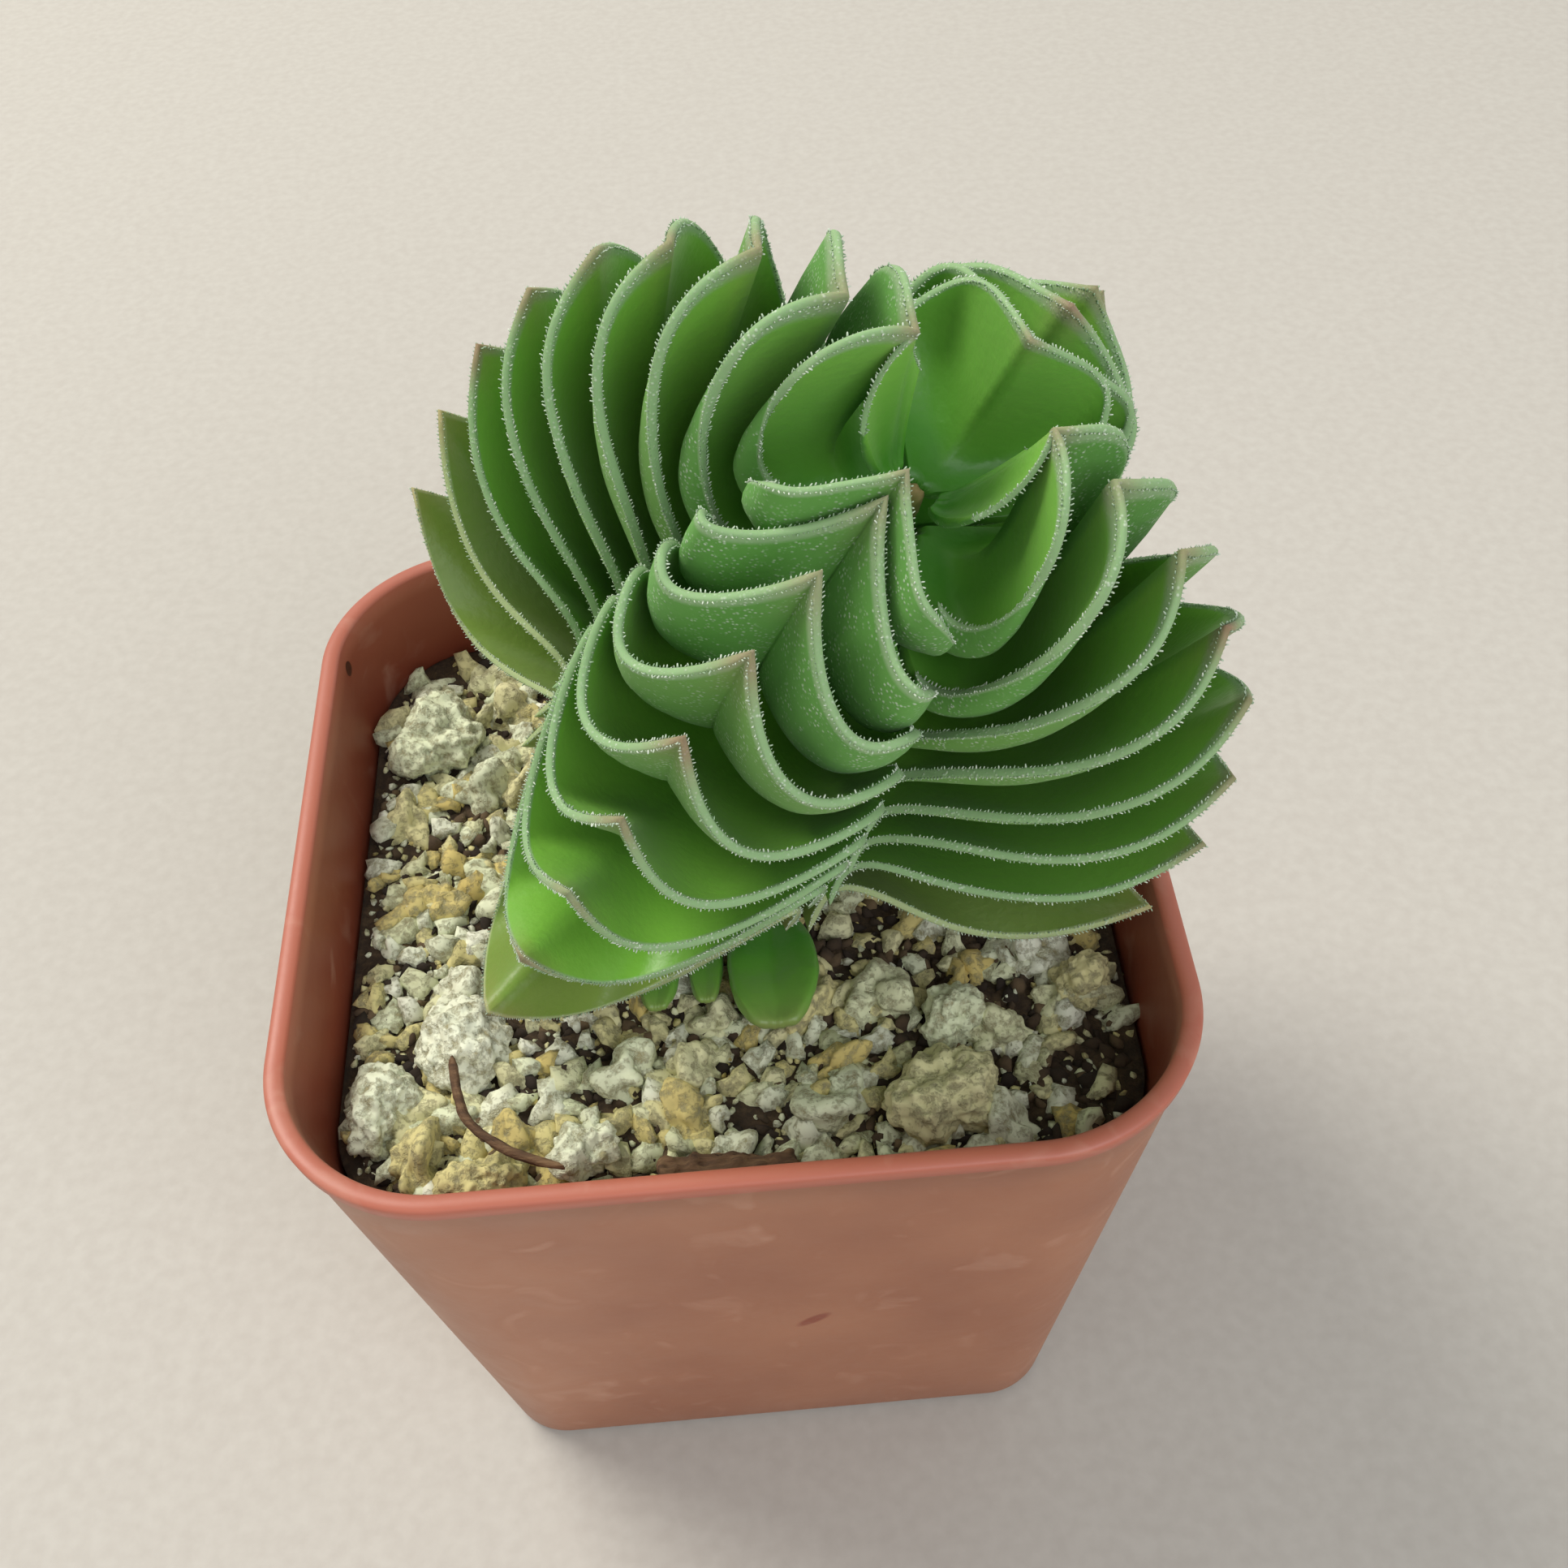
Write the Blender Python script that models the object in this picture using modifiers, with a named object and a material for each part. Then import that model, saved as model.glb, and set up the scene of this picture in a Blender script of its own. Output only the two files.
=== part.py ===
"""A potted succulent: square nursery pot, gritty soil, curved stem and leaves in four ranks.

Metres, +Z up. The origin is the centre of the pot's underside. X runs along the pot's
front side and Y from the front side to the back. The leaves stand in opposite pairs, each
pair turned a quarter from the one below, on a stem that leans over the front of the pot.
"""
import math

import bmesh
import bpy
from mathutils import Matrix, Vector, noise

MM = 0.001
GAP = 0.3 * MM

# Pot: a two-inch square nursery pot
POT_WIDTH = 50.8 * MM
POT_HEIGHT = 44.5 * MM
POT_BASE = 38.5 * MM
POT_WALL = 0.9 * MM
TOP_CORNER = 9.9 * MM
BASE_CORNER = 4.4 * MM
FOOT_ROUNDING = 0.7 * MM
RIM_BAND = 1.4 * MM
RIM_PROUD = 0.25 * MM
DRAIN_RADIUS = 2.4 * MM
DRAIN_OFFSET = 10.0 * MM
CORNER_STEPS = 6

# Soil
SOIL_DROP = 7.2 * MM
SOIL_LEVEL = POT_HEIGHT - SOIL_DROP
SOIL_BUMP = 0.7 * MM
SOIL_WAVELENGTH = 6.0 * MM
SOIL_RINGS = 7

# Stem: its middle line leans and bends with height above the soil
STEM_FOOT = Vector((-1.0 * MM, 7.4 * MM, SOIL_LEVEL + 0.6 * MM))
STEM_LEAN = Vector((0.32, -0.46))
STEM_BEND = Vector((-0.01, 0.02))
STEM_LENGTH = 37.3 * MM
STEM_FOOT_RADIUS = 2.6 * MM
STEM_TIP_RADIUS = 0.6 * MM
ROOT_DEPTH = 3.0 * MM

# Leaves: node 0 is the youngest, node PAIRS the oldest
PAIRS = 18
AGE_SPAN = 20
MIDDLE_AGE = AGE_SPAN / 2
NODE_SPACING_POWER = 0.75
FRONT_RANK_ANGLE = math.radians(-128.9)
RANK_SKEW = math.radians(7.3)
LEAF_THICKNESS = 0.8 * MM
# the youngest leaves, from the tip of the stem down, are thinner by these shares
YOUNGEST_THINNESS = (0.35, 0.6, 0.7, 0.9)
SIDE_GAP = 0.42 * MM
LEAF_ACROSS = 12
LEAF_ALONG = 4
HOLLOW_POWER = (5.0, 2.8, 2.0)
TIP_HOOK_POWER = 1.5
FRONT_BACK_AGE = 0.8
BUD_REACH = 0.9 * MM
BUD_REACH_STEP = 0.65 * MM
YOUNGEST_SCALE = (0.3, 0.7, 0.95)
# share of the full upward curl that each one has
YOUNGEST_CURL = (0.0, 0.5, 0.8)
# share by which each one's edge is evened out over its quarter, so that it can't fold back
YOUNGEST_EVENNESS = (1.0, 0.6, 0.3)
EVEN_EDGE_DROP = 0.5

# Leaf edge from tip to side: outward, sideways and upward reach from the node,
# each for the youngest, the middle and the oldest leaf, in millimetres
TIP = ((-4.0, 17.3, 24.9), (0.0, 0.0, 0.0), (5.3, 16.2, -2.0))
SHOULDER = ((1.0, 15.4, 13.8), (3.4, 5.1, 5.0), (6.4, 10.5, -2.9))
EAR = ((4.6, 9.6, 9.3), (3.2, 6.7, 6.5), (1.4, 5.2, 4.8))
SIDE = ((1.2, 8.0, 9.4), (1.2, 8.0, 9.4), (0.8, 1.8, 2.2))
EDGE_POINTS = (TIP, SHOULDER, EAR, SIDE)

# Leaves of the front and back ranks are lower at the tip and shoulder and fuller at the ear
FRONT_BACK_CHANGE = ((-1.1, 0.0, -3.4), (0.1, 0.2, -3.5), (2.0, 1.4, 3.5), (-0.5, -0.5, 0.8))

# Offset shoots at the foot: place, heading, upward tilt, length and width
SHOOTS = (
    ((2.4, -4.6, 1.4), -90.0, 7.0, 8.5, 5.6),
    ((-1.6, -4.4, 1.4), -90.0, 6.0, 6.2, 2.2),
    ((-4.3, -4.4, 1.4), -92.0, 5.0, 6.4, 2.6),
)
SHOOT_THICKNESS = 0.9 * MM
SHOOT_THICKNESS_SHARE = 0.25

# Stones: place as shares of the soil's half width and a rise above it, size, turn
STONES = (
    ("stone_front_right", (0.50, -0.76, 1.3), (7.4, 5.4, 4.6), 15.0),
    ("stone_near_right", (0.54, -0.53, 1.1), (4.2, 3.8, 3.8), 50.0),
    ("stone_left_front", (-0.69, -0.49, 1.2), (6.0, 6.6, 4.2), 25.0),
    ("stone_left_corner", (-0.88, -0.66, 0.9), (3.8, 6.6, 3.8), -10.0),
    ("stone_front_left", (-0.63, -0.89, 1.0), (5.2, 2.8, 3.4), 8.0),
    ("stone_left_back", (-0.82, 0.58, 1.3), (6.0, 7.0, 4.2), -15.0),
    ("stone_right", (0.88, -0.46, 1.1), (3.6, 3.4, 3.6), 30.0),
    ("stone_front", (-0.38, -0.82, 0.9), (4.4, 3.4, 3.2), 40.0),
)
STONE_ROUGHNESS = 0.22

BARK_SIZE = Vector((7.6, 1.8, 1.5)) * MM
BARK_PLACE = (-0.04, -0.92, 1.2)

# Dry rootlet: points as shares of the soil's half width and a rise above it
ROOT_POINTS = (
    (-0.68, -0.64, 5.2),
    (-0.67, -0.72, 4.6),
    (-0.65, -0.80, 4.1),
    (-0.55, -0.88, 3.7),
    (-0.41, -0.93, 3.6),
)
ROOT_RADIUS = 0.3 * MM


def clear_scene():
    for item in list(bpy.data.objects):
        bpy.data.objects.remove(item, do_unlink=True)


def new_collection(name):
    collection = bpy.data.collections.new(name)
    bpy.context.scene.collection.children.link(collection)
    return collection


def material(name, colour, roughness, metallic=0.0):
    made = bpy.data.materials.new(name)
    made.use_nodes = True
    shader = made.node_tree.nodes["Principled BSDF"]
    shader.inputs["Base Color"].default_value = (*colour, 1.0)
    shader.inputs["Roughness"].default_value = roughness
    shader.inputs["Metallic"].default_value = metallic
    return made


def add_mesh(name, bm, collection, look):
    """Make an object of a bmesh, with its faces pointing outwards."""
    bmesh.ops.recalc_face_normals(bm, faces=bm.faces)
    mesh = bpy.data.meshes.new(name)
    bm.to_mesh(mesh)
    bm.free()
    made = bpy.data.objects.new(name, mesh)
    collection.objects.link(made)
    if look:
        made.data.materials.append(look)
    return made


def cut(target, cutter):
    """Cut one object out of another."""
    cutter.hide_render = True
    cutter.display_type = "WIRE"
    step = target.modifiers.new("cut_" + cutter.name, "BOOLEAN")
    step.operation = "DIFFERENCE"
    step.object = cutter


# --- Pot and soil --------------------------------------------------------------------------


def corner_square(width, radius, z):
    """Points round a square with rounded corners, anticlockwise."""
    reach = width / 2 - radius
    points = []
    for quarter in range(4):
        corner = Matrix.Rotation(quarter * math.pi / 2, 3, "Z") @ Vector((reach, reach, 0))
        for step in range(CORNER_STEPS + 1):
            angle = (quarter + step / CORNER_STEPS) * math.pi / 2
            points.append(corner + Vector((radius * math.cos(angle), radius * math.sin(angle), z)))
    return points


def pot_section(z, inset):
    """Width and corner radius of the tapering pot at a height, moved in by an inset."""
    share = z / POT_HEIGHT
    width = POT_BASE + share * (POT_WIDTH - POT_BASE) - 2 * inset
    radius = BASE_CORNER + share * (TOP_CORNER - BASE_CORNER) - inset
    return width, radius


def loft(bm, loops):
    """Join loops of equal length by bands of faces."""
    rings = [[bm.verts.new(point) for point in loop] for loop in loops]
    for low, high in zip(rings, rings[1:]):
        for index in range(len(low)):
            after = (index + 1) % len(low)
            bm.faces.new((low[index], low[after], high[after], high[index]))
    return rings


def make_pot(collection, cutters):
    """The pot's outer skin with a wall thickness, and four drain holes."""
    levels = [(0.0, FOOT_ROUNDING), (0.3 * FOOT_ROUNDING, 0.3 * FOOT_ROUNDING), (FOOT_ROUNDING, 0.0)]
    levels += [(POT_HEIGHT - RIM_BAND, 0.0), (POT_HEIGHT - 0.8 * RIM_BAND, -RIM_PROUD), (POT_HEIGHT, -RIM_PROUD)]
    bm = bmesh.new()
    rings = loft(bm, [corner_square(*pot_section(z, inset), z) for z, inset in levels])
    bm.faces.new(list(reversed(rings[0])))
    pot = add_mesh("pot", bm, collection, material("moulded_terracotta_plastic", (0.42, 0.13, 0.075), 0.42))
    wall = pot.modifiers.new("wall", "SOLIDIFY")
    wall.thickness = POT_WALL
    wall.offset = -1.0
    wall.use_even_offset = True
    for quarter in range(4):
        turn = Matrix.Rotation(quarter * math.pi / 2, 3, "Z")
        bm = bmesh.new()
        bmesh.ops.create_cone(
            bm, cap_ends=True, segments=20, radius1=DRAIN_RADIUS, radius2=DRAIN_RADIUS, depth=6 * POT_WALL
        )
        hole = add_mesh("drain_cutter_%d" % quarter, bm, cutters, None)
        hole.location = turn @ Vector((DRAIN_OFFSET, DRAIN_OFFSET, 0))
        cut(pot, hole)
    return pot


def soil_half_width():
    return pot_section(SOIL_LEVEL, POT_WALL + GAP)[0] / 2


def on_soil(across, back, rise):
    """A point over the soil, from shares of its half width and a rise in millimetres."""
    half = soil_half_width()
    return Vector((across * half, back * half, SOIL_LEVEL + rise * MM))


def soil_height(point):
    """Height of the uneven soil surface above a point of the pot's floor."""
    spot = Vector((point.x, point.y, 0)) / SOIL_WAVELENGTH
    return SOIL_LEVEL + SOIL_BUMP * noise.noise(spot)


def make_soil(collection):
    """The block of soil, a gap clear of the pot's wall and floor."""
    inset = POT_WALL + GAP
    floor = POT_WALL + GAP
    top = SOIL_LEVEL - SOIL_BUMP
    loops = [corner_square(*pot_section(z, inset), z) for z in (floor, top / 2, top)]
    width, radius = pot_section(top, inset)
    for ring in range(SOIL_RINGS):
        share = 1 - (ring + 0.5) / (SOIL_RINGS + 1)
        points = corner_square(width * share, radius * share, 0)
        loops.append([Vector((p.x, p.y, soil_height(p))) for p in points])
    bm = bmesh.new()
    rings = loft(bm, loops)
    bm.faces.new(list(reversed(rings[0])))
    bmesh.ops.contextual_create(bm, geom=rings[-1])
    bmesh.ops.triangulate(bm, faces=[face for face in bm.faces if len(face.verts) > 4])
    return add_mesh("soil", bm, collection, material("dark_potting_mix", (0.05, 0.035, 0.022), 0.95))


# --- Stem and leaves -----------------------------------------------------------------------


def stem_frame(height):
    """Middle point of the stem at a height above its foot, and its direction there."""
    share = height / POT_WIDTH
    drift = STEM_LEAN * height + STEM_BEND * height * share
    slope = STEM_LEAN + 2 * STEM_BEND * share
    return STEM_FOOT + Vector((drift.x, drift.y, height)), Vector((slope.x, slope.y, 1)).normalized()


def beside_stem(height, turn, reach):
    """A point at a reach from the stem, turned round it from the front rank's direction."""
    centre, along = stem_frame(height)
    heading = Vector((math.cos(FRONT_RANK_ANGLE), math.sin(FRONT_RANK_ANGLE), 0))
    out = (heading - along * heading.dot(along)).normalized()
    return centre + (out * math.cos(turn) + along.cross(out) * math.sin(turn)) * reach


def node_height(node):
    return STEM_LENGTH * (1 - node / AGE_SPAN) ** NODE_SPACING_POWER


def stem_radius(height):
    return STEM_FOOT_RADIUS + (STEM_TIP_RADIUS - STEM_FOOT_RADIUS) * max(height, 0.0) / STEM_LENGTH


def at_age(young, middle, old, age):
    """Smooth change of one measure with a leaf's age."""
    share = (age - MIDDLE_AGE) / MIDDLE_AGE
    return young * share * (share - 1) / 2 + middle * (1 - share * share) + old * share * (share + 1) / 2


def edge_points(node, front_back):
    """The four points that a leaf's edge runs through, from its tip to its side."""
    scale = YOUNGEST_SCALE[node] if node < len(YOUNGEST_SCALE) else 1.0
    points = []
    for measures, change in zip(EDGE_POINTS, FRONT_BACK_CHANGE):
        age = node + FRONT_BACK_AGE * front_back
        values = [at_age(*measure, age) + extra * front_back for measure, extra in zip(measures, change)]
        points.append(Vector(values) * MM * scale)
    points[0].x = max(points[0].x, BUD_REACH + BUD_REACH_STEP * node)
    return points


def edge_at(points, share):
    """The point at a share of the way from tip to side, on the cubic through the four."""
    t = 3 * share
    weights = (
        (1 - t) * (2 - t) * (3 - t) / 6,
        t * (t - 2) * (t - 3) / 2,
        -t * (t - 1) * (t - 3) / 2,
        t * (t - 1) * (t - 2) / 6,
    )
    return sum((point * weight for point, weight in zip(points, weights)), Vector())


def leaf_point(node, front_back, points, across, along):
    """Reach, turn and upward reach of a point of a leaf's middle surface, from its node.

    Neighbouring ranks meet at a quarter's edge. RANK_SKEW makes the quarter wide on one
    side and narrow on the other, and each leaf fills its quarter up to SIDE_GAP.
    """
    share = abs(across)
    edge = edge_at(points, share)
    quarter = math.pi / 4
    edge_turn = min(max(math.atan2(edge.y, max(edge.x, GAP)), 0.0), quarter)
    evenness = YOUNGEST_EVENNESS[node] if node < len(YOUNGEST_EVENNESS) else 0.0
    edge_reach = math.hypot(edge.x, edge.y)
    edge_turn += (share * quarter - edge_turn) * evenness
    edge_reach += ((points[0].x + points[2].length) / 2 - edge_reach) * evenness
    edge_height = edge.z + (points[0].z * (1 - EVEN_EDGE_DROP * share) - edge.z) * evenness
    root_reach = stem_radius(node_height(node)) + 1.5 * GAP
    reach = root_reach * (1 - along) + max(edge_reach, root_reach) * along
    turn = share * quarter * (1 - along) + edge_turn * along
    side = math.copysign(1, across)
    width = quarter + side * (RANK_SKEW if front_back else -RANK_SKEW) / 2
    turn = turn / quarter * (width - math.asin(min(SIDE_GAP / reach, 1.0)))
    hook = max(1 - 3 * share, 0.0) ** 2
    curl = at_age(*HOLLOW_POWER, node) - 1 + TIP_HOOK_POWER * hook
    curl *= YOUNGEST_CURL[node] if node < len(YOUNGEST_CURL) else 1.0
    upward = edge_height * along ** (1 + curl)
    return reach, side * turn, upward


def make_leaf(name, node, turn, front_back, collection, look):
    """One leaf: a grid laid from the stem out to its edge, then thickened."""
    points = edge_points(node, front_back)
    height = node_height(node)
    bm = bmesh.new()
    bmesh.ops.create_grid(bm, x_segments=LEAF_ACROSS, y_segments=LEAF_ALONG, size=1.0)
    for vert in bm.verts:
        reach, swing, upward = leaf_point(node, front_back, points, vert.co.x, (vert.co.y + 1) / 2)
        vert.co = beside_stem(height + upward, turn + swing, reach)
    leaf = add_mesh(name, bm, collection, look)
    body = leaf.modifiers.new("thickness", "SOLIDIFY")
    thinness = YOUNGEST_THINNESS[node] if node < len(YOUNGEST_THINNESS) else 1.0
    body.thickness = LEAF_THICKNESS * thinness
    body.offset = 0.0
    leaf.data.shade_smooth()
    return leaf


def make_leaves(collection):
    young = material("young_leaf", (0.10, 0.24, 0.09), 0.6)
    grown = material("grown_leaf", (0.07, 0.25, 0.05), 0.45)
    aged = material("aged_leaf", (0.16, 0.21, 0.06), 0.6)
    for node in range(PAIRS):
        front_back = node % 2
        names = ("front", "back") if front_back else ("right", "left")
        look = young if node < 4 else aged if node > 15 else grown
        for index, side in enumerate(names):
            turn = index * math.pi + (0.0 if front_back else math.pi / 2 + RANK_SKEW)
            make_leaf("leaf_%s_%02d" % (side, node), node, turn, front_back, collection, look)
    turn = 1.5 * math.pi + RANK_SKEW
    make_leaf("leaf_left_%02d" % PAIRS, PAIRS, turn, 0, collection, aged)


def tube(name, points, radii, depth, collection, look):
    """A round tube along a line of points, with a radius at each."""
    path = bpy.data.curves.new(name, "CURVE")
    path.dimensions = "3D"
    path.bevel_depth = depth
    path.bevel_resolution = 2
    path.use_fill_caps = True
    line = path.splines.new("POLY")
    line.points.add(len(points) - 1)
    for spot, point, radius in zip(line.points, points, radii):
        spot.co = (*point, 1.0)
        spot.radius = radius
    path.materials.append(look)
    made = bpy.data.objects.new(name, path)
    collection.objects.link(made)
    weld = made.modifiers.new("weld", "WELD")
    weld.merge_threshold = 0.00001
    return made


def make_stem(collection, cutters, soil):
    """The stem, rooted in a hole in the soil."""
    count = 10
    top = node_height(0)
    heights = [-ROOT_DEPTH + (top + ROOT_DEPTH) * index / count for index in range(count + 1)]
    points = [stem_frame(height)[0] for height in heights]
    radii = [stem_radius(height) / STEM_FOOT_RADIUS for height in heights]
    tube("stem", points, radii, STEM_FOOT_RADIUS, collection, material("leafy_stem", (0.14, 0.20, 0.07), 0.6))
    centre, along = stem_frame(0.0)
    bm = bmesh.new()
    radius = STEM_FOOT_RADIUS + 2 * GAP
    bmesh.ops.create_cone(bm, cap_ends=True, segments=20, radius1=radius, radius2=radius, depth=4 * ROOT_DEPTH)
    socket = add_mesh("stem_socket_cutter", bm, cutters, None)
    socket.location = centre + along * ROOT_DEPTH / 2
    socket.rotation_mode = "QUATERNION"
    socket.rotation_quaternion = along.to_track_quat("Z", "Y")
    cut(soil, socket)


def make_shoots(collection):
    """Small leaves of the offset shoots that push out under the oldest leaves."""
    look = material("shoot_leaf", (0.10, 0.27, 0.07), 0.55)
    for index, (place, heading, tilt, length, width) in enumerate(SHOOTS):
        bm = bmesh.new()
        bmesh.ops.create_grid(bm, x_segments=6, y_segments=6, size=1.0)
        for vert in bm.verts:
            along = (vert.co.y + 1) / 2
            half = width / 2 * math.sin(math.pi * (0.16 + 0.72 * along)) ** 0.8
            keel = 0.25 * abs(vert.co.x) * half
            vert.co = Vector((length * along, vert.co.x * half, keel)) * MM
        leaf = add_mesh("shoot_leaf_%d" % (index + 1), bm, collection, look)
        body = leaf.modifiers.new("thickness", "SOLIDIFY")
        body.thickness = min(SHOOT_THICKNESS, SHOOT_THICKNESS_SHARE * width * MM)
        body.offset = 0.0
        leaf.location = Vector(place) * MM + Vector((0, 0, SOIL_LEVEL))
        leaf.rotation_euler = (0.0, -math.radians(tilt), math.radians(heading))
        leaf.data.shade_smooth()


# --- Stones, bark and root -----------------------------------------------------------------


def stone_mesh(size, seed, grown):
    """A rough lump of a size, grown on every side by an amount."""
    bm = bmesh.new()
    bmesh.ops.create_icosphere(bm, subdivisions=2, radius=1.0)
    for vert in bm.verts:
        swell = 1 + STONE_ROUGHNESS * noise.noise(vert.co * 1.7 + Vector((seed * 7.3, 0, 0)))
        for axis in range(3):
            vert.co[axis] *= swell * size[axis] / 2 * MM + grown
    return bm


def make_stones(collection, cutters, soil):
    """Lumps of pumice, each bedded in a hollow of the soil."""
    look = material("pumice", (0.55, 0.56, 0.36), 0.95)
    for seed, (name, place, size, turn) in enumerate(STONES):
        stone = add_mesh(name, stone_mesh(size, seed, 0.0), collection, look)
        bed = add_mesh(name + "_cutter", stone_mesh(size, seed, 2 * GAP), cutters, None)
        for item in (stone, bed):
            item.location = on_soil(*place)
            item.rotation_euler.z = math.radians(turn)
        cut(soil, bed)


def make_bark(collection, cutters, soil):
    """A strip of bark lying along the front wall, bedded in the soil."""
    look = material("brown_bark", (0.14, 0.08, 0.045), 0.85)
    for name, grown, folder, finish in (("bark_strip", 0.0, collection, look), ("bark_cutter", GAP, cutters, None)):
        bm = bmesh.new()
        bmesh.ops.create_cube(bm, size=1.0)
        scale = BARK_SIZE + Vector((2 * grown, 2 * grown, 2 * grown))
        bmesh.ops.scale(bm, vec=scale, verts=bm.verts)
        strip = add_mesh(name, bm, folder, finish)
        strip.location = on_soil(*BARK_PLACE)
        if finish:
            bevel = strip.modifiers.new("worn_edges", "BEVEL")
            bevel.width = 0.35 * MM
            bevel.segments = 2
        else:
            cut(soil, strip)


def make_root(collection):
    """A dry rootlet standing out of the grit."""
    points = [on_soil(*point) for point in ROOT_POINTS]
    look = material("dry_root", (0.2, 0.11, 0.06), 0.8)
    tube("dry_root", points, [1.0] * len(points), ROOT_RADIUS, collection, look)


def build():
    clear_scene()
    plant = new_collection("potted_succulent")
    cutters = new_collection("cutters")
    make_pot(plant, cutters)
    soil = make_soil(plant)
    make_stem(plant, cutters, soil)
    make_leaves(plant)
    make_shoots(plant)
    make_stones(plant, cutters, soil)
    make_bark(plant, cutters, soil)
    make_root(plant)


build()
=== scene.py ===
# %% [markdown]
# # A potted succulent
# A square nursery pot, gritty soil and a plant whose leaves stand in crossed pairs. The frame
# is a finished model with one solid for each piece. This script keeps every size and place
# and makes the fine surfaces: the fleshy leaves with their hairy edges, the grit and the pot.

# %% Load the frame
import math

import bmesh
import bpy
import numpy as np
from mathutils import Matrix, Vector, noise


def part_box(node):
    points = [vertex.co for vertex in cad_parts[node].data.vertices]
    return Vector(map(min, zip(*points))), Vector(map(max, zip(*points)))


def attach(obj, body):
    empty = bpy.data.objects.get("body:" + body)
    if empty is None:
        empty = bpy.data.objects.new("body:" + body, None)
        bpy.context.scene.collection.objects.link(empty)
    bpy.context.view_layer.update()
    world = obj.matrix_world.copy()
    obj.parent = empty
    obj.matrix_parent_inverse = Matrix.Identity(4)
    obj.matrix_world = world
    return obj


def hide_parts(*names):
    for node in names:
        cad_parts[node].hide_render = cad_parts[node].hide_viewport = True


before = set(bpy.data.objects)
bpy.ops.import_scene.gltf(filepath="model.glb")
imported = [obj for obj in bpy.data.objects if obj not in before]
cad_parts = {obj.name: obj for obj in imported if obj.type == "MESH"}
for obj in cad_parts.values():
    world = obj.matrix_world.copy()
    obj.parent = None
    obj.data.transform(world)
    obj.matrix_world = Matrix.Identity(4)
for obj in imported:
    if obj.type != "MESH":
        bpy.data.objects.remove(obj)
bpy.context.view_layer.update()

MM = 0.001

# %% [markdown]
# ## The camera
# The camera looks down at the pot from the front. A camera is placed by three angles and a
# distance: it turns about the vertical, tilts down, and rolls a little, as a hand-held one does.

# %% Place the camera
CAMERA_PLACE = Vector((3.15, -71.18, 126.18)) * MM
CAMERA_TILT = math.radians(48.39)
CAMERA_TURN = math.radians(-0.68)
CAMERA_ROLL = math.radians(-4.46)
LENS_MM = 41.25

camera = bpy.data.objects.new("camera", bpy.data.cameras.new("camera"))
bpy.context.scene.collection.objects.link(camera)
camera.data.lens = LENS_MM
camera.data.sensor_width = 36.0
camera.data.clip_start = 0.005
turn = Matrix.Rotation(CAMERA_TURN, 4, "Z")
tilt = Matrix.Rotation(math.pi / 2 - CAMERA_TILT, 4, "X")
roll = Matrix.Rotation(CAMERA_ROLL, 4, "Z")
camera.matrix_world = Matrix.Translation(CAMERA_PLACE) @ turn @ tilt @ roll
bpy.context.scene.camera = camera
print("camera looks down", round(math.degrees(CAMERA_TILT), 1), "degrees")

# %% [markdown]
# ## Small tools
# Colours are written as the hex values that a screen shows. Shaders work in linear light, so
# one function turns one into the other. Another adds a node to any tree with its settings and
# links in one line. An input may be a number, a socket, or a node, whose first output in use
# is then taken.


# %% Colour and node tools
def linear(hex_colour):
    """A screen colour such as "#a05030" as linear red, green, blue and alpha."""
    values = [int(hex_colour[i:i + 2], 16) / 255 for i in (1, 3, 5)]
    return tuple(v / 12.92 if v <= 0.04045 else ((v + 0.055) / 1.055) ** 2.4 for v in values) + (1.0,)


def add(tree, kind, inputs=None, stops=(), **settings):
    """Add a node, set its properties and colour stops, and fill or link its inputs."""
    node = tree.nodes.new(kind)
    for name, value in settings.items():
        setattr(node, name, value)
    for key, value in (inputs or {}).items():
        in_use = [socket for socket in node.inputs if socket.enabled and socket.name == key]
        socket = node.inputs[key] if isinstance(key, int) else in_use[0]
        if isinstance(value, bpy.types.Node):
            value = next(output for output in value.outputs if output.enabled)
        if isinstance(value, bpy.types.NodeSocket):
            tree.links.new(value, socket)
        else:
            socket.default_value = value
    for number, (position, colour) in enumerate(stops):
        elements = node.color_ramp.elements
        element = elements[number] if number < 2 else elements.new(position)
        element.position = position
        element.color = linear(colour)
    return node


def new_material(name):
    """An empty material and its tree."""
    made = bpy.data.materials.new(name)
    made.use_nodes = True
    made.node_tree.nodes.clear()
    return made, made.node_tree


print("terracotta in linear light:", [round(v, 3) for v in linear("#a8674c")])


# %% Mesh and tree tools
SEAM = 0.004


def add_piece(name, mesh, material, replaced=()):
    """Link a finished mesh as a piece that rides on the one body."""
    piece = bpy.data.objects.new(name, mesh)
    bpy.context.scene.collection.objects.link(piece)
    if material:
        mesh.materials.clear()
        mesh.materials.append(material)
    mesh.shade_smooth()
    if replaced:
        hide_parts(*replaced)
    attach(piece, "root")
    return piece


def store_measures(mesh, measures):
    """Keep named numbers on a mesh's points, for its material or a node tree to read."""
    for title, values in measures.items():
        data = mesh.attributes.new(title, "FLOAT", "POINT").data
        data.foreach_set("value", np.asarray(values, dtype=np.float32))


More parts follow.
